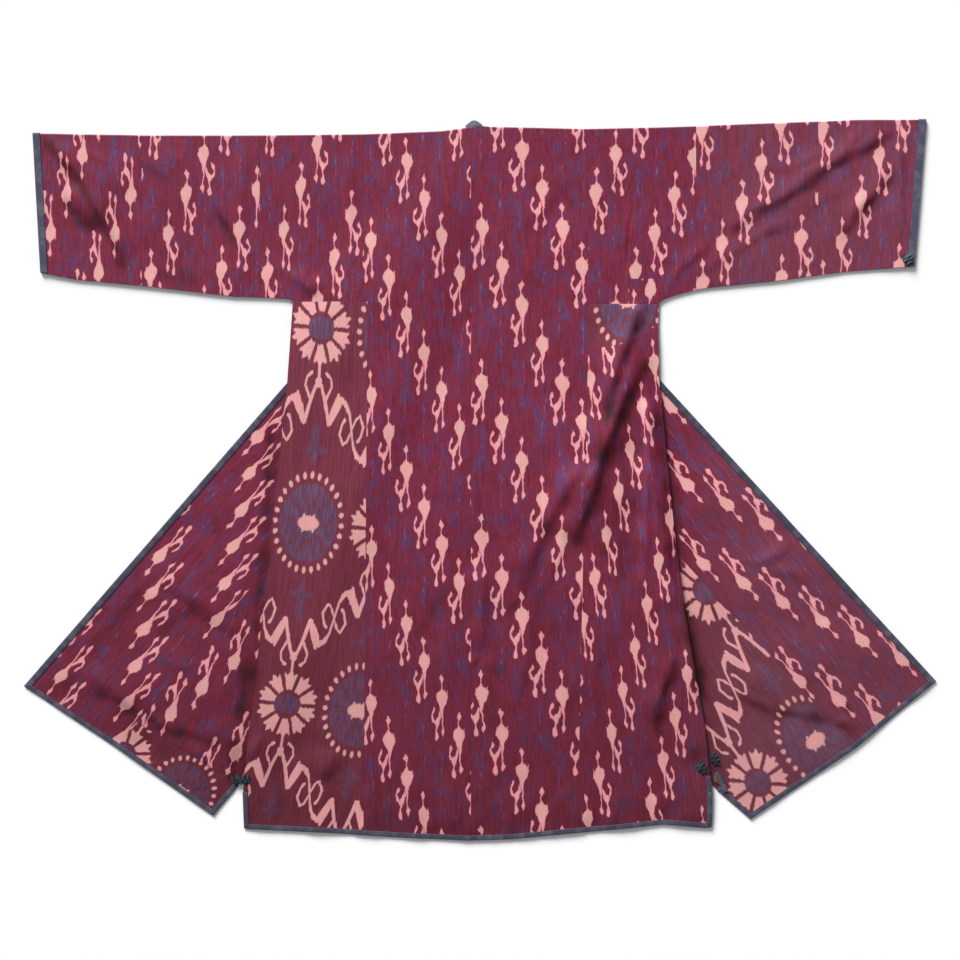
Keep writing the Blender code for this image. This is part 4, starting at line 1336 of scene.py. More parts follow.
class FigureSilk(Silk):
    """Wine silk with small pale figures, one to a column, each column a quarter period on."""

    def __init__(self) -> None:
        """Dye and weave the cloth."""
        super().__init__("ikat_silk_figures")
        graph, dyes = self.graph, self.dyes
        pitch = Chart.FIGURES.value[0]
        across = self.across + self.wander(0.02, 2.5) + self.wander(0.09, 2.2)
        column = (across / pitch + 0.5).floor()
        x = (across - column * pitch) / LOOM_UNIT
        down, luck = self.spot(column)
        own = self.figure(x * (0.96 + luck * 0.2), down, False)
        next_down, next_luck = self.spot(column + 1)
        beside = self.figure((x - pitch / LOOM_UNIT) * (0.96 + next_luck * 0.2), next_down, True)
        inside = own.over(beside)
        half_period = Chart.FIGURES.value[1] / LOOM_UNIT / 2
        rest = (down + half_period).wrapped(2 * half_period)
        ground = graph.mix(self.patches(x, rest), self.ground(), self.cloud())
        ground = graph.mix(self.flecks(x, rest, luck) * 0.6, ground, dyes.lilac)
        threads = self.streaks(0.7, 0.05).rise(0.25, 0.7)
        soiled = self.streaks(0.05, 0.02).rise(0.36, 0.62) * 0.5 + luck * 0.5
        heart = graph.mix(threads * 0.6 + 0.3, dyes.apricot, graph.mix(soiled, dyes.apricot, dyes.beige))
        figures = graph.mix(threads * 0.4, dyes.pink, dyes.apricot)
        figures = graph.mix(inside.rise(0.5, 2.4) * (0.65 + luck * 0.35), figures, heart)
        figures = graph.mix(inside.rise(-0.4, 0.5), dyes.blush, figures)
        self.material = self.dressed(ground, inside.rise(-0.6, 0.3), figures, 0.54)

    def spot(self, column: Value) -> tuple[Value, Value]:
        """Where a point lies in its column's repeat.

        Args:
            column: the number of the column.

        Returns:
            How far below the nearest figure's middle the point is, in loom units, and that
            figure's own random number.
        """
        _, period, rise = Chart.FIGURES.value
        place = self.bled() + column * rise
        number = (place / period + 0.5).floor()
        luck = self.graph.chance(self.graph.vector(column, number))
        return (number * period - place) / LOOM_UNIT, luck

    def patches(self, x: Value, rest: Value) -> Value:
        """Soft broken patches of blue, mostly half way between the figures of a column."""
        cloud = self.streaks(0.055, 0.03).rise(0.46, 0.64)
        between = self.oval(x + (self.bundle - 0.5) * 4, rest, 9.0, 34.0, 0.7)
        threads = self.streaks(0.3, 0.03).rise(0.25, 0.65) * 0.55 + 0.45
        return ((cloud * 0.75 + 0.14) * between + cloud * 0.34) * threads

    def flecks(self, x: Value, rest: Value, luck: Value) -> Value:
        """Fine pale dashes: a broken line down each patch, and a few stray ones."""
        line = (0.7 - abs(x - (luck * 5 - 2.5))).rise(-0.55, 0.55)
        line = line * abs(rest).rise(32, 18) * self.streaks(0.5, 0.08).rise(0.54, 0.68)
        stray = self.streaks(0.62, 0.07).rise(0.71, 0.84) * 0.5
        return line.over(stray)

    def figure(self, x: Value, down: Value, hook_only: bool) -> Value:
        """The small figure: its chart gives each stroke's centre and half width at this row.

        Args:
            x: place across from the figure's middle, in loom units.
            down: place below it.
            hook_only: whether only the hook is drawn, which reaches into the next column.

        Returns:
            How far inside a stroke's edge the point lies, in loom units, and less than 0 off it.
        """
        top, foot = FIGURE_SPAN
        at = (down - top) / (foot - top)
        centre, half, _, _ = self.chart(at, lambda row: (row.hook, row.hook_half) * 2)
        inside = half - abs(x - centre)
        if not hook_only:
            spine, spine_half, leg, leg_half = self.chart(
                at, lambda row: (row.spine, row.spine_half, row.foot, row.foot_half)
            )
            inside = inside.over(spine_half - abs(x - spine)).over(leg_half - abs(x - leg))
        return inside.under(down - top - 1).under(foot - 1 - down)

    def chart(self, at: Value, read: Callable[[FigureRow], tuple]) -> tuple[Value, ...]:
        """Two strokes of the chart at a row: a ramp holds their centres and half widths.

        Args:
            at: the row, from 0 at the figure's top to 1 at its foot.
            read: picks centre, half width, centre and half width from a row.

        Returns:
            The four numbers, in loom units.
        """
        top, foot = FIGURE_SPAN
        stops = []
        for row in FIGURE_CHART:
            first, half, second, other = read(row)
            stops.append(((row.down - top) / (foot - top), (
                0.5 + first / OFFSET_RANGE, 0.5 + half / HALF_RANGE,
                0.5 + second / OFFSET_RANGE, 0.5 + other / HALF_RANGE,
            )))
        ramp = self.graph.node("ShaderNodeValToRGB", {"stops": stops}, {0: at})
        alpha = Value(self.graph, ramp.socket.node.outputs["Alpha"])
        red, green, blue = self.graph.parts("Color", ramp)
        return ((red - 0.5) * OFFSET_RANGE, (green - 0.5) * HALF_RANGE,
                (blue - 0.5) * OFFSET_RANGE, (alpha - 0.5) * HALF_RANGE)

    def ground(self) -> Value:
        """Wine red, with softly mingled magenta and brown threads."""
        graph, dyes = self.graph, self.dyes
        mingled = self.streaks(0.16, 0.012) * 0.6 + self.streaks(0.5, 0.03) * 0.4
        colour = graph.mix(mingled.rise(0.42, 0.68) * 0.8, dyes.wine, dyes.magenta)
        colour = graph.mix(self.streaks(0.24, 0.02).rise(0.54, 0.74) * 0.5, colour, dyes.crimson)
        colour = graph.mix(self.streaks(0.3, 0.03).rise(0.5, 0.75) * 0.6, colour, dyes.brown)
        colour = graph.mix(self.streaks(0.09, 0.035).rise(0.52, 0.74) * 0.4, colour, dyes.brown)
        return graph.mix(self.streaks(0.024, 0.011).rise(0.5, 0.7) * self.bundle * 0.6, colour, dyes.violet)

    def cloud(self) -> Value:
        """The blue and violet of the patches between figures."""
        return self.graph.mix(self.streaks(0.2, 0.02).rise(0.4, 0.6), self.dyes.violet, self.dyes.blue)


# Straight strokes of the scroll: start and end from the rosette, half width at both, in loom units.
SCROLL = (
    ((0, 32), (0, 46), (1.0, 1.3)),
    ((0, 46), (0, 50), (1.3, 3.4)),
    ((0, 50), (0, 54), (3.4, 2.6)),
    ((2.2, 53), (7, 68), (1.4, 1.7)),
    ((7, 68), (12.3, 90.5), (1.7, 1.9)),
    ((8.2, 67), (13.2, 55), (1.3, 1.0)),
    ((13.2, 55), (12, 47), (1.0, 0.9)),
    ((12, 47), (7.8, 42.8), (0.9, 1.8)),
    ((12.6, 90), (18, 76), (2.6, 4.0)),
    ((18, 76), (20.5, 61.5), (4.0, 1.1)),
    ((18, 76), (22.7, 66.5), (4.0, 3.2)),
    ((22.7, 66.5), (28, 69.5), (3.2, 2.4)),
    ((28, 69.5), (32.5, 79), (2.4, 1.1)),
    ((32.5, 79), (35.5, 95), (1.1, 1.0)),
    ((36.2, 92.5), (39.5, 83.6), (0.9, 1.1)),
    ((39.5, 83.6), (43, 80.6), (1.1, 1.2)),
    ((43, 80.6), (47.2, 90), (1.2, 1.2)),
    ((47.2, 90), (45.2, 100), (1.2, 1.0)),
    ((45.2, 100), (42.7, 104.8), (1.0, 1.6)),
)


class MedallionSilk(Silk):
    """Plum silk with blue medallions, pale rosettes and scrolls, each column half a drop on."""

    half_pitch, half_drop = 71.0, 190.0  # in loom units, as are the half sizes below
    medal_half, dots = (33.0, 48.0), 28
    rose_half, petals = (29.0, 35.0), 10

    def __init__(self) -> None:
        """Dye and weave the cloth."""
        super().__init__("medallion_silk_scrolls")
        graph, dyes = self.graph, self.dyes
        x = self.across / LOOM_UNIT + (self.bundle - 0.5) * 1.2
        y = self.bled() / LOOM_UNIT
        pale, blue = self.quarter(x, y)
        other_pale, other_blue = self.quarter(x + self.half_pitch, y + self.half_drop)
        pale, blue = pale.over(other_pale), blue.over(other_blue)
        ground = graph.mix(self.streaks(0.3, 0.012).rise(0.35, 0.75) * 0.7, dyes.plum, dyes.plum_dark)
        cool = graph.mix(self.streaks(0.35, 0.04).rise(0.3, 0.75), dyes.slate, dyes.slate_dark)
        ground = graph.mix(blue * 0.85, ground, cool)
        figures = graph.mix(self.streaks(0.6, 0.04), dyes.pink, dyes.apricot)
        soiled = self.streaks(0.5, 0.04).rise(0.3, 0.7) * self.streaks(0.04, 0.02).rise(0.3, 0.65)
        figures = graph.mix(soiled, figures, dyes.beige)
        self.material = self.dressed(ground, pale, figures, 0.5)

    def quarter(self, x: Value, y: Value) -> tuple[Value, Value]:
        """One set of columns, folded onto a quarter of its repeat by its two mirror lines.

        Args:
            x: place across, in loom units.
            y: place along.

        Returns:
            The pale and the blue mask.
        """
        signed_x = x.wrapped(2 * self.half_pitch)
        signed_y = y.wrapped(2 * self.half_drop)
        side, away = abs(signed_x), abs(signed_y)
        near = self.half_drop - away  # from the rosette's centre
        medal_pale, medal_blue = self.medallion(side, away)
        rose_pale, rose_blue = self.rosette(side, near)
        pale, blue = medal_pale.over(rose_pale), medal_blue.over(rose_blue)
        for stroke in SCROLL:
            pale = pale.over(self.line(side, near, *stroke, 1.0))
        fleur = self.oval(side, near - 110, 4.2, 21.0, 0.3)
        fleur = fleur.over(self.oval(side, near - 117, 12.0, 4.0, 0.4))
        return pale, blue.over(fleur * 0.8)

    def medallion(self, side: Value, away: Value) -> tuple[Value, Value]:
        """A blue oval round a pale heart, in a ring of dots at even angles."""
        radius, part = self.polar(side, away, self.medal_half, self.dots)
        ring = self.oval(part.wrapped(1.0), radius - 1.0, 0.24, 0.075, 0.3)
        heart = self.oval(side, away, 10.5, 7.5, 0.14)
        heart = heart.over(self.line(side, away, (4.5, 3), (5.0, 8.2), (1.6, 1.0), 1.0))
        face = self.oval(side, away, 28.5, 39.5, 0.05)
        veins = self.line(side, away, (2, 17), (9, 31), (2.2, 1.0), 1.6)
        veins = veins.over(self.line(side, away, (9, 12), (19, 24), (1.4, 2.0), 1.6))
        veins = veins.over(self.line(side, away, (11, 2), (26, 2), (1.4, 0.6), 1.4))
        return ring.over(heart), face * (1 - veins * 0.7)

    def rosette(self, side: Value, near: Value) -> tuple[Value, Value]:
        """Ten pale petals round a blue oval: wedges between two ovals, frayed outside."""
        radius, part = self.polar(side, near, self.rose_half, self.petals)
        slot = abs((part + 0.5).wrapped(1.0))
        teeth = (slot * 18.0).math("COSINE") * 0.05 + 1.0 - slot * 0.25
        petal = radius.rise(0.42, 0.48) * (teeth - radius).rise(-0.03, 0.03)
        petal = petal * (0.26 + radius * 0.14 - slot).rise(-0.04, 0.04)
        return petal, self.oval(side, near, 12.8, 10.8, 0.1)


@dataclass(frozen=True)
class PlainCloth:
    """A plain woven cloth or tape: two shades, cross ribs and a dry finish."""

    name: str
    shade: tuple[float, float, float]
    worn: tuple[float, float, float]
    rib: float
    roughness: float
    thread_pitch: float = 0.8
    relief: float = 0.3
    relief_strength: float = 0.6

    def make(self) -> Material:
        """The material: ribs across the tape, worn paler on their tops."""
        graph = Graph(self.name)
        across, along = graph.chart_place()
        grain = graph.noise(graph.vector(across * 0.9, along * 2.4), 3.0)
        blotch = graph.noise(graph.vector(across * 0.05, along * 0.05), 2.0)
        ribs = (along * (TURN / self.rib)).math("SINE") * 0.5 + 0.5
        thread = (across * (TURN / self.thread_pitch)).math("SINE") * 0.5 + 0.5
        worn = (blotch.rise(0.42, 0.7) * 0.5 + grain.rise(0.55, 0.8) * 0.35 + ribs * 0.15).under(1)
        colour = graph.mix(worn, self.shade, self.worn)
        height = ribs * 0.6 + thread * 0.25 + grain * 0.4
        constants = {"Specular IOR Level": 0.25, "Sheen Weight": 0.1}
        return graph.finish(constants, Base_Color=colour,
                            Roughness=self.roughness + (grain - 0.5) * 0.12,
                            Normal=graph.bump(height, self.relief * MM, self.relief_strength))


def woven(name: str, shade: tuple, worn: tuple, rib: float = 1.1, roughness: float = 0.82) -> Material:
    """A field that makes a plain cloth from two screen colours."""
    return field(default_factory=PlainCloth(name, srgb(*shade), srgb(*worn), rib, roughness).make)


@dataclass(frozen=True)
class Finishes:
    """All finishes of the robe."""

    figures: Material = field(default_factory=lambda: FigureSilk().material)
    medallions: Material = field(default_factory=lambda: MedallionSilk().material)
    tape: Material = woven("tape_slate", (66, 68, 86), (104, 102, 121))
    hem_tape: Material = woven("tape_dark", (58, 56, 71), (93, 88, 106))
    neck: Material = woven("neck_grey", (92, 97, 102), (128, 132, 136))
    thread: Material = woven("thread_indigo", (30, 36, 52), (72, 82, 102), 0.5, 0.7)
    stitching: Material = woven("thread_slate", (62, 58, 72), (104, 96, 112), 0.5, 0.7)
    # Near black: the knots' core thread, darkened as painted shade for the gaps between the wraps.
    core_thread_and_shade: Material = woven("thread_dark", (14, 16, 25), (28, 32, 45), 0.5, 0.8)
    worn_thread: Material = woven("thread_worn", (70, 82, 100), (122, 134, 150), 0.5, 0.7)
    lining: Material = woven("lining_brown", (96, 62, 38), (120, 84, 56), 0.6)


# ---------------- the robe


def sew(finishes: Finishes, name: str, layers: list[Layer], figured: bool = True,
        node: str = "", facing: float = 1.0) -> Made:
    """Build a lined piece of one of the silks in its node's place.

    Args:
        finishes: the robe's finishes.
        name: the piece's name, before "silk".
        layers: its layers in order.
        figured: whether it is cut from the silk with small figures.
        node: its node, where that has another name than the piece.
        facing: 1 where the first layer's face is up and -1 where it is down.

    Returns:
        The piece's object, and the cut piece.
    """
    silk = finishes.figures if figured else finishes.medallions
    cut = CutPiece(f"{name}_silk", layers, silk, finishes.lining, facing=facing)
    return cut.put(node or name, "ikat_silk" if figured else "medallion_silk")


def tape_cut(name: str, layers: list[Layer], finish: Material) -> Object:
    """A strip as thin as tape, with one finish on both faces."""
    return CutPiece(name, layers, finish, finish, TAPE, 0.7).build()


def declare(made: Made, trims: Sequence = ()) -> None:
    """Log the size that a piece was cut to, and its area."""
    piece, cut = made
    width, length = (round(size, 3) for size in cut.size)
    area = min(cut.area, width * length)
    list(trims)
    LOG.info("%s: cut %.0f x %.0f mm, %.4f square metres", piece.name, width / MM, length / MM, area)


@dataclass
class BodyWidth:
    """One body width: up the back, over the shoulder, down the front and out along the skirt."""

    name: str
    skirt: Skirt
    gore_seam: tuple[Point, ...]
    shoulder_seam: float
    armhole: float
    back_loom: str
    fan_loom: str

    def layers(self) -> list[Layer]:
        """The back, the chest under it and the skirt on the ground."""
        foot = self.gore_seam[-1][0]
        edge = [point_on(BACK_HEM, foot), *reversed(self.gore_seam[1:-1])]
        edge.append((self.gore_seam[0][0], self.armhole))
        centre = [point_on(BACK_HEM, CENTRE_BACK_SEAM), point_on(SHOULDER, CENTRE_BACK_SEAM)]
        shoulder = point_on(SHOULDER, self.shoulder_seam)
        edge += [(self.shoulder_seam, self.armhole + 1), shoulder]
        back, shares = ruled(edge, centre)
        back = meet(back, shares, BACK_HEM, SHOULDER)
        span = norm(back[-1] - back[-1, 0], axis=-1)
        columns = span / span[-1]
        outer = [shoulder, (self.shoulder_seam, self.armhole), self.skirt.seam_fold]
        chest, shares = ruled(outer, [centre[1], self.skirt.neck], columns)
        chest = meet(chest, shares, SHOULDER)
        chest[0] = back[-1]
        opening = [self.skirt.neck, self.skirt.knee, self.skirt.corner]
        fan, _ = ruled([self.skirt.seam_fold, self.skirt.seam_foot], opening, columns)
        fan[0] = chest[-1]
        loom = LOOMS[self.back_loom]
        return [
            Layer(back, Lie.back, loom),
            Layer(chest, Lie.under(self.skirt), over_shoulder(loom)),
            Layer(fan, Lie.fan(self.skirt), LOOMS[self.fan_loom]),
        ]

    def make(self, finishes: Finishes) -> Made:
        """Build the width in its node's place."""
        return sew(finishes, self.name, self.layers())


@dataclass
class FrontGore:
    """A front gore: down the robe's side, turned under, and out to the skirt's hem."""

    name: str
    skirt: Skirt
    side: tuple[Point, ...]
    seam_top: Point
    hip_loom: str
    fan_loom: str
    pieced: bool

    def ends(self) -> tuple[Point, Point]:
        """Where the gore ends, on the vent edge and on the seam."""
        if not self.pieced:
            return self.skirt.vent_corner, self.skirt.seam_foot
        return (between(self.skirt.vent, self.skirt.vent_corner, PIECING_SHARES[0]),
                between(self.skirt.seam_fold, self.skirt.seam_foot, PIECING_SHARES[1]))

    def layers(self) -> list[Layer]:
        """The hip under the back, and the skirt on the ground."""
        vent_end, seam_end = self.ends()
        low = between(self.side[-2], self.side[-1], TUCK_END)
        side = [*((x * TUCK, y) for x, y in self.side[:-1]), (low[0] * TUCK**3, low[1]), self.side[-1]]
        hip, _ = ruled(side, [self.seam_top, self.skirt.seam_fold], step=HIDDEN_STEP)
        hip[0, :, 1] -= SEAM_GAP
        span = norm(hip[-1] - hip[-1, 0], axis=-1)
        fan, _ = ruled([self.skirt.vent, vent_end], [self.skirt.seam_fold, seam_end], span / span[-1])
        fan[0] = hip[-1]
        return [
            Layer(hip, Lie.under(self.skirt), LOOMS[self.hip_loom]),
            Layer(fan, Lie.fan(self.skirt), LOOMS[self.fan_loom]),
        ]

    def make(self, finishes: Finishes) -> Made:
        """Build the gore in its node's place."""
        return sew(finishes, self.name, self.layers(), self.pieced, facing=-1.0)

    def make_hem(self, finishes: Finishes) -> Made:
        """Build the hem end of a pieced gore, which is cut from the other silk."""
        vent_end, seam_end = self.ends()
        rows, _ = ruled([vent_end, self.skirt.vent_corner], [seam_end, self.skirt.seam_foot])
        rows[0] += np.array([-0.2, -0.3])
        layer = Layer(rows, Lie.fan(self.skirt), LOOMS["fan_hem_left"])
        return sew(finishes, f"{self.name}_hem", [layer], False)


@dataclass
class BackGore:
    """A back gore, from the armhole or the patch down to the hem, open beside the vent."""

    name: str
    side: tuple[Point, ...]
    vent: tuple[Point, ...]
    seam: tuple[Point, ...]
    top: Array | None
    figured: bool

    def rows(self) -> Array:
        """Its rows in plan, from the top to the hem, with both edges brought back to their lines."""
        outer = [*self.side[:-1], *self.vent]
        seam = [*self.seam[:-1], point_on(BACK_HEM, self.seam[-1][0])]
        rows, shares = ruled(outer, seam)
        rows = meet(rows, shares, self.top, BACK_HEM)
        near, far = (
            np.interp(-rows[:, column, 1], [-y for _, y in line], [x for x, _ in line])[:, None]
            for column, line in ((0, outer), (-1, seam))
        )
        share = (rows[..., 0] - rows[:, :1, 0]) / (rows[:, -1:, 0] - rows[:, :1, 0])
        rows[..., 0] = near * (1 - share) + far * share
        rows[0, :, 1] -= SEAM_GAP
        return rows

    def make(self, finishes: Finishes) -> Made:
        """Build the gore in its node's place."""
        layer = Layer(self.rows(), Lie.back, LOOMS[self.name])
        return sew(finishes, self.name, [layer], self.figured)


@dataclass
class Sleeve:
    """The three widths of a sleeve, each folded over the shoulder."""

    side: str
    seams: tuple[float, ...]
    cuff: tuple[Point, Point]
    underarm: Array
    skirt: Skirt

    def bounds(self, order: int) -> tuple[list[Point], list[Point]]:
        """The near and the far edge of one width, from the underarm to the shoulder."""
        near_x = self.seams[order]
        near = [point_on(self.underarm, near_x), point_on(SHOULDER, near_x)]
        if order == len(self.seams) - 1:
            return near, [point_on(self.underarm, self.cuff[1][0]), point_on(SHOULDER, self.cuff[0][0])]
        far_x = self.seams[order + 1]
        return near, [point_on(self.underarm, far_x), point_on(SHOULDER, far_x)]

    def layers(self, order: int, loom: Loom) -> list[Layer]:
        """The upper wall of one width and the lower wall under it."""
        near, far = self.bounds(order)
        upper, shares = ruled(near, far)
        upper = meet(upper, shares, self.underarm, SHOULDER)
        if self.side == "right" and order == 0:
            upper = self.notched(upper)
        x = upper[-1, :, 0]
        lower, shares = ruled(near[::-1], far[::-1], (x - x[0]) / (x[-1] - x[0]))
        lower = meet(lower, shares, SHOULDER, self.underarm)
        lower[0] = upper[-1]
        return [Layer(upper, Lie.back, loom), Layer(lower, Lie.under(self.skirt), over_shoulder(loom))]

    @staticmethod
    def notched(rows: Array) -> Array:
        """The inner right width with the gusset's corner cut out of its lower rows.

        Two close columns stand at each side of the corner, and the rows between them are
        squeezed up to start at its top.

        Args:
            rows: the rows before the corner is cut.

        Returns:
            The rows with the corner.
        """
        half, pair = SEAM_GAP / 2, 0.2  # between two close columns
        left, right = GUSSET_LEFT_X - half, GUSSET_RIGHT_X + half
        inner_left, inner_right = left + pair / 2, right - pair / 2
        steps = [left, left + pair, right - pair, right]
        xs = np.unique(np.concatenate([rows[0, :, 0], steps]))
        set_columns = np.abs(xs[:, None] - steps).min(axis=1) < 0.01
        xs = xs[set_columns | (np.abs(xs[:, None] - [inner_left, inner_right]).min(axis=1) > 2)]
        grid = np.zeros((len(rows), len(xs), 2))
        grid[..., 0] = xs
        order = np.argsort(rows[0, :, 0])
        for row, line in zip(grid, rows[:, order]):
            row[:, 1] = np.interp(xs, line[:, 0], line[:, 1])
        cut = (xs > inner_left) & (xs < inner_right)
        foot = np.where(cut, GUSSET_TOP + half, grid[0, :, 1])
        share = (grid[..., 1] - grid[0, :, 1]) / (grid[-1, :, 1] - grid[0, :, 1])
        grid[..., 1] = foot + share * (grid[-1, :, 1] - foot)
        return grid

    def make(self, finishes: Finishes) -> list[Made]:
        """Build the three widths in their nodes' places."""
        names = [f"sleeve_{self.side}_{part}" for part in ("inner", "middle", "cuff")]
        return [sew(finishes, name, self.layers(order, LOOMS[name])) for order, name in enumerate(names)]

    def make_tape(self, finishes: Finishes) -> Object:
        """Build the tape round the cuff, over both its walls."""
        upper, lower = (layer.rows[:, -1] for layer in self.layers(2, LOOMS[f"sleeve_{self.side}_cuff"]))
        inward = np.array([-math.copysign(CUFF_TAPE_WIDTH, upper[0, 0]), 0.0])
        across = even_shares(CUFF_TAPE_WIDTH, 2.0)[:, None]
        undersides = raised(Lie.back, ON_CLOTH), raised(Lie.under(self.skirt), -CUFF_LIFT)
        layers = [Layer(edge[:, None] + across * inward, underside, plain_chart)
                  for edge, underside in zip((upper, lower), undersides)]
        node = f"cuff_tape_{self.side}"
        return place(tape_cut(f"{node}_woven", layers, finishes.tape), node, "binding_tape")


@dataclass
class Underarm:
    """The gusset let into the right sleeve, and the patch between it and the gore."""

    def make_gusset(self, finishes: Finishes) -> Made:
        """Build the gusset in its node's place."""
        sides = [[point_on(UNDERARM_RIGHT, x), (x, GUSSET_TOP)] for x in (GUSSET_LEFT_X, GUSSET_RIGHT_X)]
        rows, shares = ruled(*sides)
        rows = meet(rows, shares, UNDERARM_RIGHT)
        rows[-1, :, 1] -= SEAM_GAP / 2
        layer = Layer(rows, Lie.back, LOOMS["gusset"])
        return sew(finishes, "underarm_gusset", [layer], True, "underarm_gusset_right")

    def make_patch(self, finishes: Finishes) -> Made:
        """Build the patch in its node's place."""
        outer = [SIDE_RIGHT[0], tuple(PATCH_FOOT[-1])]
        inner = [(BACK_GORE_SEAM_RIGHT[0][0], ARMHOLE_RIGHT), tuple(PATCH_FOOT[0])]
        rows, shares = ruled(outer, inner)
        rows = meet(rows, shares, None, PATCH_FOOT)
        rows[0, :, 1] -= SEAM_GAP
        rows[-1, :, 1] += SEAM_GAP
        layer = Layer(rows, Lie.back, LOOMS["patch"])
        return sew(finishes, "underarm_patch", [layer], False, "underarm_patch_right")


def mitred(path: Array, distances: Array) -> Array:
    """A path moved out by a distance for each of its stretches, with mitred corners.

    Each point goes to where the two lines beside it meet once both are moved.

    Args:
        path: plan points in order.
        distances: how far out each stretch moves.

    Returns:
        The moved points.
    """
    steps = np.diff(path, axis=0)
    sides = np.stack([steps[:, 1], -steps[:, 0]], axis=1) / norm(steps, axis=1)[:, None]
    following = np.roll(path, -1, axis=0)
    sides *= np.sign((path[:, 0] * following[:, 1] - following[:, 0] * path[:, 1]).sum())
    before = np.concatenate([sides[:1], sides])
    after = np.concatenate([sides, sides[-1:]])
    out_before = np.concatenate([distances[:1], distances])
    out_after = np.concatenate([distances, distances[-1:]])
    cross = before[:, 0] * after[:, 1] - before[:, 1] * after[:, 0]
    straight = np.abs(cross) < 0.02
    safe = np.where(straight, 1.0, cross)
    corner = np.stack([
        (out_before * after[:, 1] - out_after * before[:, 1]) / safe,
        (out_after * before[:, 0] - out_before * after[:, 0]) / safe,
    ], axis=1)
    level = (before + after) / 2 * ((out_before + out_after) / 2)[:, None]
    return path + np.where(straight[:, None], level, corner)


def denser(path: Array, values: Array, step: float) -> tuple[Array, Array]:
    """A path with more points between its corners, and each new stretch's value.

    Args:
        path: plan points in order.
        values: one value for each stretch.
        step: the most between two points.

    Returns:
        The path, and the values of its stretches.
    """
    points, kept = [path[:1]], []
    for start, end, value in zip(path, path[1:], values):
        count = max(1, math.ceil(float(norm(end - start)) / step))
        shares = np.linspace(0, 1, count + 1)[1:, None]
        points.append(start + (end - start) * shares)
        kept += [value] * count
    return np.concatenate(points), np.array(kept, float)


# Corners of the tape's section: the share of its width out from the cloth's edge, then
# millimetres out, and up from the cloth's underside.
TAPE_SECTION = (
    (-1, 0.15, 1.95), (-1, 0.0, 2.3), (-1, 0.25, 2.65),
    (-0.9, 0, 2.86), (-0.5, 0, 2.98), (-0.12, 0, 2.9),
    (0, 0.5, 2.75), (0, 1.05, 2.35), (0, 1.3, 1.6),
    (0, 1.25, 0.5), (0, 1.0, 0.08), (0, 0.55, 0.03),
    (0, 0.3, 0.2), (0, 0.3, 1.7), (-0.05, 0, 1.9),
)


@dataclass
class EdgeTape:
    """Tape turned over a cloth edge: a strip on the cloth and a lip down its edge."""

    node: str
    path: Array
    widths: Array
    underside: Heights
    step: float = 5.0
    stitch_pitch: float = 6.5
    stitch_inset: float = 1.6
    stitch_lift: float = 2.88
    stitch_length: float = 3.2
    stitch_radius: float = 0.28

    def make(self, finishes: Finishes) -> list[Object]:
        """Build the tape and its stitches."""
        return [self.strip(finishes), self.stitches(finishes)]

    def strip(self, finishes: Finishes) -> Object:
        """Build the tape: its section is carried along the path, and its ends are closed.

        Each ring moves out by a share of the tape's width, and up from the underside of the
        cloth beneath it, with a little puckering along the way.
        """
        path, widths = denser(self.path, self.widths, self.step)
        run = np.concatenate([[0.0], np.cumsum(norm(np.diff(path, axis=0), axis=1))])
        rings = []
        for share, out, up in TAPE_SECTION:
            plan = mitred(path, share * widths + out)
            under = self.underside(plan if share else path)
            pucker = 0.09 * np.sin(run / 3.1 + np.sin(run / 23.0) * 2) * (up > 2.5)
            rings.append(np.column_stack([plan, under + up + pucker]))
        grid = np.stack(rings, axis=1)
        count, sides = grid.shape[:2]
        index = np.arange(count * sides).reshape(count, sides)
        faces = np.concatenate([ring_quads(index), self.caps(index)])
        spread = np.stack(np.broadcast_arrays(np.arange(sides) * 0.8, run[:, None]), axis=-1) * MM
        flat = spread.reshape(-1, 2)
        piece = make_mesh(f"{self.node}_woven", grid.reshape(-1, 3), faces, [finishes.hem_tape],
                          None, flat[faces])
        return place(piece, self.node, "binding_tape")

    @staticmethod
    def caps(index: Array) -> Array:
        """Quads that close both ends: strips between the section's upper and lower corners."""
        sides = index.shape[1]
        quads = []
        for ring, turn in ((index[0], 1), (index[-1], -1)):
            for low in range((sides - 1) // 2):
                high = sides - 1 - low
                quads.append([ring[low], ring[high], ring[high - 1], ring[low + 1]][::turn])
        return np.array(quads)

    def stitches(self, finishes: Finishes) -> Object:
        """Build the running stitches along the tape's inner edge, in slate thread."""
        path, widths = denser(self.path, self.widths, self.stitch_pitch)
        start = mitred(path, -widths + self.stitch_inset)[:-1]
        heading = np.diff(path, axis=0)
        heading /= norm(heading, axis=1)[:, None]
        height = self.underside(start) + self.stitch_lift
        return stitch_row(f"{self.node}_stitches", start, heading, height, self.stitch_length,
                          self.stitch_radius, finishes.stitching)


def ring_quads(index: Array) -> Array:
    """Quads between neighbouring rings, whose vertex numbers are the last two axes of an array."""
    beyond = np.roll(index, -1, axis=-1)
    near, far = np.s_[..., :-1, :], np.s_[..., 1:, :]
    return np.stack([index[near], beyond[near], beyond[far], index[far]], axis=-1).reshape(-1, 4)


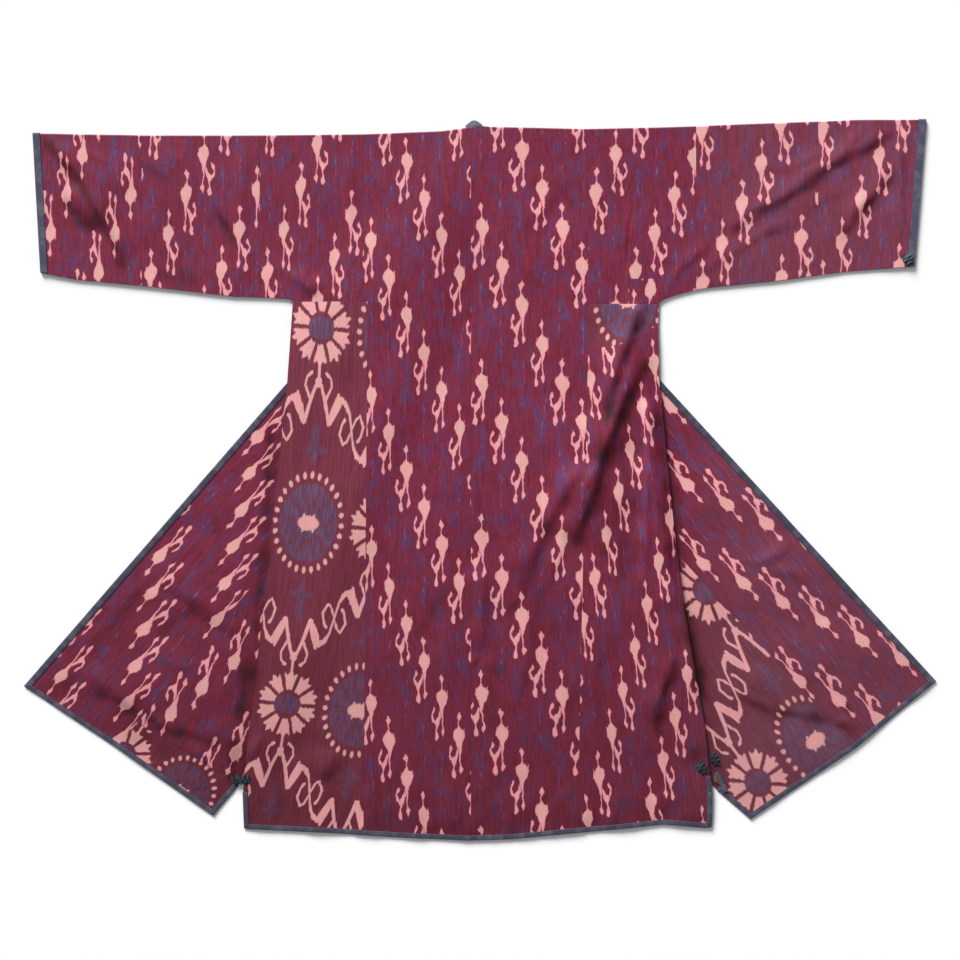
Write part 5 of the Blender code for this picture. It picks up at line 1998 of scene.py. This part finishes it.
def stitch_row(
    name: str, start: Array, heading: Array, height: Array, length: float, radius: float,
    finish: Material,
) -> Object:
    """Short stitches: each is a six-sided spindle that dips at both ends.

    A ring stands at five places along the stitch. Its radius follows a sine, and its middle
    rises and falls with the same sine.

    Args:
        name: the object's name.
        start: where each stitch starts, in plan.
        heading: which way it runs.
        height: how high its ends lie.
        length: its length.
        radius: its half thickness.
        finish: its material.

    Returns:
        One object with all the stitches.
    """
    share = np.linspace(0, 1, STITCH_RINGS)
    swell = np.sin(math.pi * (0.08 + 0.84 * share))
    turn = np.linspace(0, TURN, STITCH_SIDES, endpoint=False)
    across = np.stack([-heading[:, 1], heading[:, 0]], axis=1)
    middle = start[:, None] + heading[:, None] * (share * length)[:, None]
    side = (radius * swell[:, None] * np.cos(turn))[None, ..., None] * across[:, None, None]
    plan = middle[:, :, None] + side
    rise = radius * swell[:, None] * np.sin(turn) + 0.35 * (swell[:, None] - 0.6)
    points = np.concatenate([plan, (height[:, None, None] + rise)[..., None]], axis=-1)
    index = np.arange(points[..., 0].size).reshape(-1, STITCH_RINGS, STITCH_SIDES)
    ends = [index[:, i][:, quad] for i in (0, -1) for quad in ((0, 1, 2, 3), (0, 3, 4, 5))]
    ends = [end[:, ::-1] if i < 2 else end for i, end in enumerate(ends)]
    faces = np.concatenate([ring_quads(index), *ends])
    flat = points.reshape(-1, 3)
    return make_mesh(name, flat, faces, [finish], None, flat[faces][..., :2] * MM)


@dataclass
class Knot:
    """Thread wound over an opening's end: a dark core, whose near black is also painted shade for the gaps
    between the wraps, and loose wraps to and fro over it.
    """

    node: str
    centre: Point
    half_sizes: Point
    angle: float
    underside: Heights
    lobes: int = 1
    wraps: int = 6
    pale: bool = False
    strands: int = 9
    height: float = 3.6

    def breadth(self, along: Array | float) -> Array | float:
        """The knot's half breadth at a share of its length: an ellipse, or two side by side."""
        if self.lobes == 1:
            return np.sqrt(np.clip(1 - np.square(along), 0.12, 1))
        return np.sqrt(np.clip(1 - np.square((np.abs(along) - 0.52) / 0.5), 0.16, 1))

    def strand(self, first: Array, second: Array, arch: Array) -> Array:
        """A strand's middle line, from shares of the length and the breadth, and its rise."""
        local = np.stack([first * self.half_sizes[0], second * self.half_sizes[1]], axis=1)
        plan = local @ rotation(self.angle).T + self.centre
        return np.column_stack([plan, self.underside(plan) + arch])

    def make(self, finishes: Finishes) -> Object:
        """Build the knot from tubes along low arches over the cloth.

        The core's strands lie along the knot and fill its breadth. The wraps cross it, lean
        to one side and then to the other, and end at odd distances past it.
        """
        chance = np.random.default_rng(len(self.node) + self.strands)
        share = np.linspace(-1, 1, 15)
        dome = np.sqrt(np.clip(1 - share**2, 0, 1))
        tubes, slots, radii = [], [], []
        for order in range(self.strands):
            offset = (order + 0.5) / self.strands * 2 - 1
            bow = chance.uniform(-0.15, 0.15)
            second = (offset + bow * (1 - share**2)) * self.breadth(share) * 0.86
            arch = 0.6 + dome * self.breadth(share) * math.sqrt(1 - offset**2) * (self.height - 2.2)
            tubes.append(self.strand(share * 0.94, second, arch))
            slots.append(0)
            radii.append(0.66 * 2 * self.half_sizes[1] / self.strands)
        for order in range(self.wraps):
            along = (order + 0.5) / self.wraps * 1.8 - 0.9 + chance.uniform(-0.08, 0.08)
            lean = (0.16 if order % 2 else -0.2) + chance.uniform(-0.1, 0.1)
            reach = float(self.breadth(along)) * chance.uniform(0.95, 1.18)
            first = along + lean * share + chance.uniform(-0.08, 0.08) * (1 - share**2)
            arch = 0.9 + dome * float(self.breadth(along)) * (self.height - 1.9 + chance.uniform(-0.3, 0.6))
            tubes.append(self.strand(first, share * reach, arch))
            slots.append(1)
            radii.append(chance.uniform(0.85, 1.15))
        # The core's thread is painted darker than the wraps', as shade in the gaps between them.
        threads = [finishes.core_thread_and_shade, finishes.worn_thread if self.pale else finishes.thread]
        return place(tube_mesh(f"{self.node}_thread", tubes, np.array(radii), threads, slots),
                     self.node, "indigo_thread")


def tube_mesh(
    name: str, paths: Sequence[Array], radii: Array, finishes: Sequence[Material],
    slots: Sequence[int],
) -> Object:
    """Round tubes along paths: an eight-sided ring stands square to the path at each point.

    Args:
        name: the object's name.
        paths: points in space for each tube, all of one count.
        radii: each tube's radius.
        finishes: their materials.
        slots: which material each tube has.

    Returns:
        One object with all the tubes, each closed.
    """
    points = np.stack(paths)
    tangent = np.gradient(points, axis=1)
    tangent /= norm(tangent, axis=-1, keepdims=True)
    side = np.cross(tangent, [0.0, 0.0, 1.0])
    side /= np.maximum(norm(side, axis=-1, keepdims=True), 1e-6)
    up = np.cross(side, tangent)
    turn = np.linspace(0, TURN, TUBE_SIDES, endpoint=False)[:, None]
    taper = np.ones(points.shape[1])
    taper[[0, -1]] = 0.45
    wide = radii[:, None, None, None] * taper[:, None, None]
    rings = points[:, :, None] + wide * (side[:, :, None] * np.cos(turn) + up[:, :, None] * np.sin(turn))
    index = np.arange(rings[..., 0].size).reshape(rings.shape[:3])
    ends = []
    for ring, turn_round in ((index[:, 0], -1), (index[:, -1], 1)):
        for quad in ((0, 1, 2, 3), (0, 3, 4, 7), (4, 5, 6, 7)):
            ends.append(ring[:, quad[::turn_round]])
    faces = np.concatenate([ring_quads(index), *ends])
    flat = rings.reshape(-1, 3)
    owner = np.asarray(slots)[faces[:, 0] // (points.shape[1] * TUBE_SIDES)]
    return make_mesh(name, flat, faces, finishes, owner, flat[faces][..., :2] * MM)


@dataclass
class Trims:
    """Tapes, knots and the lining's corner."""

    finishes: Finishes
    from_neck: float = 120.0  # where a front's tape starts, under the back
    from_vent: float = 12.0  # where it ends
    back_lift: float = 0.1
    least_step: float = 4.0
    strip_step: float = 2.5
    neck_seam: tuple[float, float, float] = (-13.0, 1.1, 0.35)  # x, half width and depth

    def front_path(self, skirt: Skirt) -> Array:
        """Down the opening edge, along the hem and up to the vent."""
        start = between(skirt.neck, skirt.knee, self.from_neck / math.dist(skirt.neck, skirt.knee))
        up = self.from_vent / math.dist(skirt.vent, skirt.vent_corner)
        end = between(skirt.vent, skirt.vent_corner, up)
        return np.array([start, skirt.knee, skirt.corner, skirt.seam_foot, skirt.vent_corner, end])

    def back_path(
        self, body_left: CutPiece, body_right: CutPiece, gore_left: BackGore, gore_right: BackGore
    ) -> Array:
        """Down the left vent, along the hem and up the right vent."""
        left, right = gore_left.rows(), gore_right.rows()
        down, up = left[:, 0], right[::-1, 0]
        head = BACK_VENT_LEFT[0][1] + 1
        hem = [left[-1], body_left.layers[0].rows[0], body_right.layers[0].rows[0, ::-1], right[-1, ::-1]]
        path = np.vstack([down[down[:, 1] < head][:-1], *hem, up[up[:, 1] < head][1:]])
        kept = [path[0]]
        for point in path[1:]:
            if norm(point - kept[-1]) > self.least_step:
                kept.append(point)
        return np.array(kept)

    def make_front(self, node: str, skirt: Skirt) -> list[Object]:
        """Build a front's tape and its stitches."""
        widths = np.array([FRONT_TAPE_WIDTH] * 2 + [HEM_TAPE_WIDTH] * 3)
        return EdgeTape(node, self.front_path(skirt), widths, Lie.fan(skirt)).make(self.finishes)

    def make_back(self, path: Array) -> list[Object]:
        """Build the back's tape and its stitches."""
        widths = np.full(len(path) - 1, HEM_TAPE_WIDTH)
        underside = raised(Lie.back, self.back_lift)
        return EdgeTape("edge_tape_back", path, widths, underside).make(self.finishes)

    def make_neck(self) -> Object:
        """Build the tape at the nape: a crescent over the shoulder fold, with a seam."""
        x = np.linspace(NECK_TAPE[0, 0], NECK_TAPE[-1, 0], 61)
        past_fold = LAYER / 2 + CLOTH / 2 + TAPE_GAP
        foot, top = heights_on(SHOULDER, x) + past_fold, heights_on(NECK_TAPE, x)
        share = np.linspace(0, 1, 13)[:, None]
        rows = np.stack(np.broadcast_arrays(x, foot + (top - foot) * share), axis=-1)

        def lying(plan: Array) -> Array:
            seam_x, half_width, depth = self.neck_seam
            return Lie.back(plan) - depth * np.exp(-(((plan[..., 0] - seam_x) / half_width) ** 2))

        finish = self.finishes.neck
        cut = CutPiece("neck_tape_woven", [Layer(rows, lying, plain_chart)], finish, finish)
        return place(cut.build(), "neck_tape", "neck_tape")

    def make_vent_lining(self) -> Object:
        """Build the corner of brown lining at the head of the right vent."""
        across = np.linspace(0, 1, 9)[:, None]
        ends = [np.stack([np.interp(across[:, 0] * 2, range(3), row[:, i]) for i in (0, 1)], axis=-1)
                for row in VENT_LINING]
        rows = np.stack([ends[0] + (ends[1] - ends[0]) * share for share in np.linspace(0, 1, 9)])
        layer = Layer(rows, raised(Lie.fan(SKIRT_RIGHT), ON_CLOTH), plain_chart)
        return place(tape_cut("vent_lining_cloth", [layer], self.finishes.lining),
                     "vent_lining_right", "brown_lining")

    def make_vent_strips(self) -> list[Object]:
        """Build the ends of both tapes above the right vent, on the skirt and on the back."""
        strips = []
        for name, path, underside in (
            ("vent_tape_skirt", [(442.5, -563), (438, -551), (432.5, -538.5), (425, -526)],
             raised(Lie.fan(SKIRT_RIGHT), ON_CLOTH + CUFF_LIFT)),
            ("vent_tape_back", [(412.2, -562), (412.9, -552), (411.8, -543), (410, -533)],
             raised(Lie.back, ON_CLOTH)),
        ):
            path, _ = denser(np.array(path), np.zeros(len(path) - 1), self.strip_step)
            along = np.gradient(path, axis=0)
            side = np.stack([-along[:, 1], along[:, 0]], axis=1) / norm(along, axis=1)[:, None]
            spread = np.linspace(-STRIP_HALF_WIDTH, STRIP_HALF_WIDTH, 7)[:, None]
            layer = Layer(path[:, None] + side[:, None] * spread, underside, plain_chart)
            strips.append(place(tape_cut(name, [layer], self.finishes.hem_tape), None, "binding_tape"))
        return strips

    def make_knots(self) -> dict[str, Object]:
        """Build the knots over the vents' heads and at the right cuff."""
        on_tape, on_back = ON_CLOTH + CUFF_LIFT, 2 * LAYER + ON_CLOTH + self.back_lift
        clear, ease = 2.0, 9.0

        def astride(plan: Array) -> Array:
            past = SKIRT_LEFT.vent[0] - clear - plan[..., 0]
            return on_back - (on_back - on_tape) * smooth(past / ease)

        knots = (
            Knot("vent_knot_left", (-429, -540), (17.5, 9.3), 0.05, astride, 2, 7),
            Knot("vent_knot_right", (398.5, -517.5), (13.2, 8.8), -0.95, raised(Lie.back, ON_CLOTH)),
            Knot("vent_knot_right_outer", (423, -503), (13.5, 7.4), -1.13,
                 raised(Lie.fan(SKIRT_RIGHT), ON_CLOTH)),
            Knot("cuff_knot_right", (768.5, 397), (10.8, 9.2), -0.9, raised(Lie.back, on_tape), pale=True),
        )
        return {knot.node: knot.make(self.finishes) for knot in knots}


# ---------------- studio


class Sun(NamedTuple):
    """A far soft light: where it comes from, how wide it looks from the robe, and its power."""

    name: str
    heading: float  # degrees from the right, anticlockwise
    elevation: float
    softness: float
    power: float

    def make(self) -> None:
        """Hang the light."""
        light = bpy.data.lights.new(self.name, "SUN")
        light.angle, light.energy = math.radians(self.softness), self.power
        tilt = math.radians(90 - self.elevation)
        add_object(self.name, light).rotation_euler = (0.0, tilt, math.radians(self.heading))


@dataclass(frozen=True)
class Studio:
    """A pale floor, soft light and a camera that looks straight down. Sizes are in metres."""

    height: float = 4.8
    lens: float = 100.0
    aim: float = -0.00045
    reach: float = 6.0
    level: float = -0.0004
    suns: tuple[Sun, ...] = (Sun("key", 115, 26, 26, 5.5), Sun("top", 150, 62, 40, 0.3))
    sky: tuple = (0.95, 0.97, 1.0, 1.0)
    sky_strength: float = 0.27

    def make_floor(self) -> None:
        """Lay the floor just under the robe."""
        mesh = bpy.data.meshes.new("floor")
        signs = ((-1, -1), (1, -1), (1, 1), (-1, 1))
        corners = [(x * self.reach, y * self.reach, self.level) for x, y in signs]
        mesh.from_pydata(corners, [], [(0, 1, 2, 3)])
        graph = Graph("floor_paper")
        mesh.materials.append(graph.finish({"Base Color": (0.9, 0.9, 0.9), "Roughness": 0.9}))
        add_object("floor", mesh)

    def make_camera(self) -> None:
        """Set the camera over the robe's middle."""
        camera = bpy.data.cameras.new("camera")
        camera.lens, camera.sensor_width = self.lens, 36.0
        viewer = add_object("camera", camera)
        viewer.location = (0.0, self.aim, self.height)
        bpy.context.scene.camera = viewer

    def make(self) -> None:
        """Set up floor, lights, sky and camera."""
        self.make_floor()
        for sun in self.suns:
            sun.make()
        world = bpy.context.scene.world or bpy.data.worlds.new("sky")
        bpy.context.scene.world = world
        world.use_nodes = True
        background = world.node_tree.nodes["Background"]
        background.inputs["Color"].default_value = self.sky
        background.inputs["Strength"].default_value = self.sky_strength
        bpy.context.scene.view_settings.view_transform = "Standard"
        self.make_camera()


def main() -> None:
    """Build the robe, piece by piece, and the studio round it."""
    logging.basicConfig(level=logging.INFO, format="%(message)s")
    finishes = Finishes()
    trims = Trims(finishes)

    corner_left = SLEEVE_SEAMS_LEFT[0], ARMHOLE_LEFT
    corner_right = SLEEVE_SEAMS_RIGHT[0], ARMHOLE_RIGHT

    body_left = BodyWidth("body_left", SKIRT_LEFT, BACK_GORE_SEAM_LEFT, *corner_left,
                          "back_left", "fan_left").make(finishes)
    body_right = BodyWidth("body_right", SKIRT_RIGHT, BACK_GORE_SEAM_RIGHT, *corner_right,
                           "back_right", "fan_right").make(finishes)
    front_left = FrontGore("front_gore_left", SKIRT_LEFT, SIDE_LEFT, corner_left,
                           "hip_left", "fan_gore_left", True)
    front_right = FrontGore("front_gore_right", SKIRT_RIGHT, SIDE_RIGHT, corner_right,
                            "hip_right", "fan_gore_right", False)
    back_left = BackGore("back_gore_left", SIDE_LEFT, BACK_VENT_LEFT, BACK_GORE_SEAM_LEFT, None, False)
    back_right = BackGore("back_gore_right", (tuple(PATCH_FOOT[-1]), *SIDE_RIGHT[2:]), BACK_VENT_RIGHT,
                          BACK_GORE_SEAM_RIGHT[1:], PATCH_FOOT, True)
    tape_left = trims.make_front("edge_tape_left", SKIRT_LEFT)
    tape_right = trims.make_front("edge_tape_right", SKIRT_RIGHT)
    tape_back = trims.make_back(trims.back_path(body_left[1], body_right[1], back_left, back_right))
    for tape in (tape_left, tape_right, tape_back):
        place(tape[1], None, "indigo_thread")
    knots = trims.make_knots()
    neck = trims.make_neck()
    vent_lining = trims.make_vent_lining()
    strip_skirt, strip_back = trims.make_vent_strips()

    declare(body_left, [*tape_left, neck])
    declare(body_right, tape_right)
    declare(front_left.make(finishes))
    declare(front_left.make_hem(finishes))
    declare(front_right.make(finishes),
            [knots["vent_knot_right_outer"], vent_lining, strip_skirt])
    declare(back_left.make(finishes), [*tape_back, knots["vent_knot_left"]])
    declare(back_right.make(finishes), [knots["vent_knot_right"], strip_back])
    underarm = Underarm()
    for made in (underarm.make_gusset(finishes), underarm.make_patch(finishes)):
        declare(made)

    for sleeve in (
        Sleeve("left", SLEEVE_SEAMS_LEFT, CUFF_LEFT, UNDERARM_LEFT, SKIRT_LEFT),
        Sleeve("right", SLEEVE_SEAMS_RIGHT, CUFF_RIGHT, UNDERARM_RIGHT, SKIRT_RIGHT),
    ):
        inner, middle, cuff = sleeve.make(finishes)
        at_cuff = [sleeve.make_tape(finishes)]
        if sleeve.side == "right":
            at_cuff.append(knots["cuff_knot_right"])
        for made, trim in ((inner, ()), (middle, ()), (cuff, at_cuff)):
            declare(made, trim)
    Studio().make()


if __name__ == "__main__":
    main()
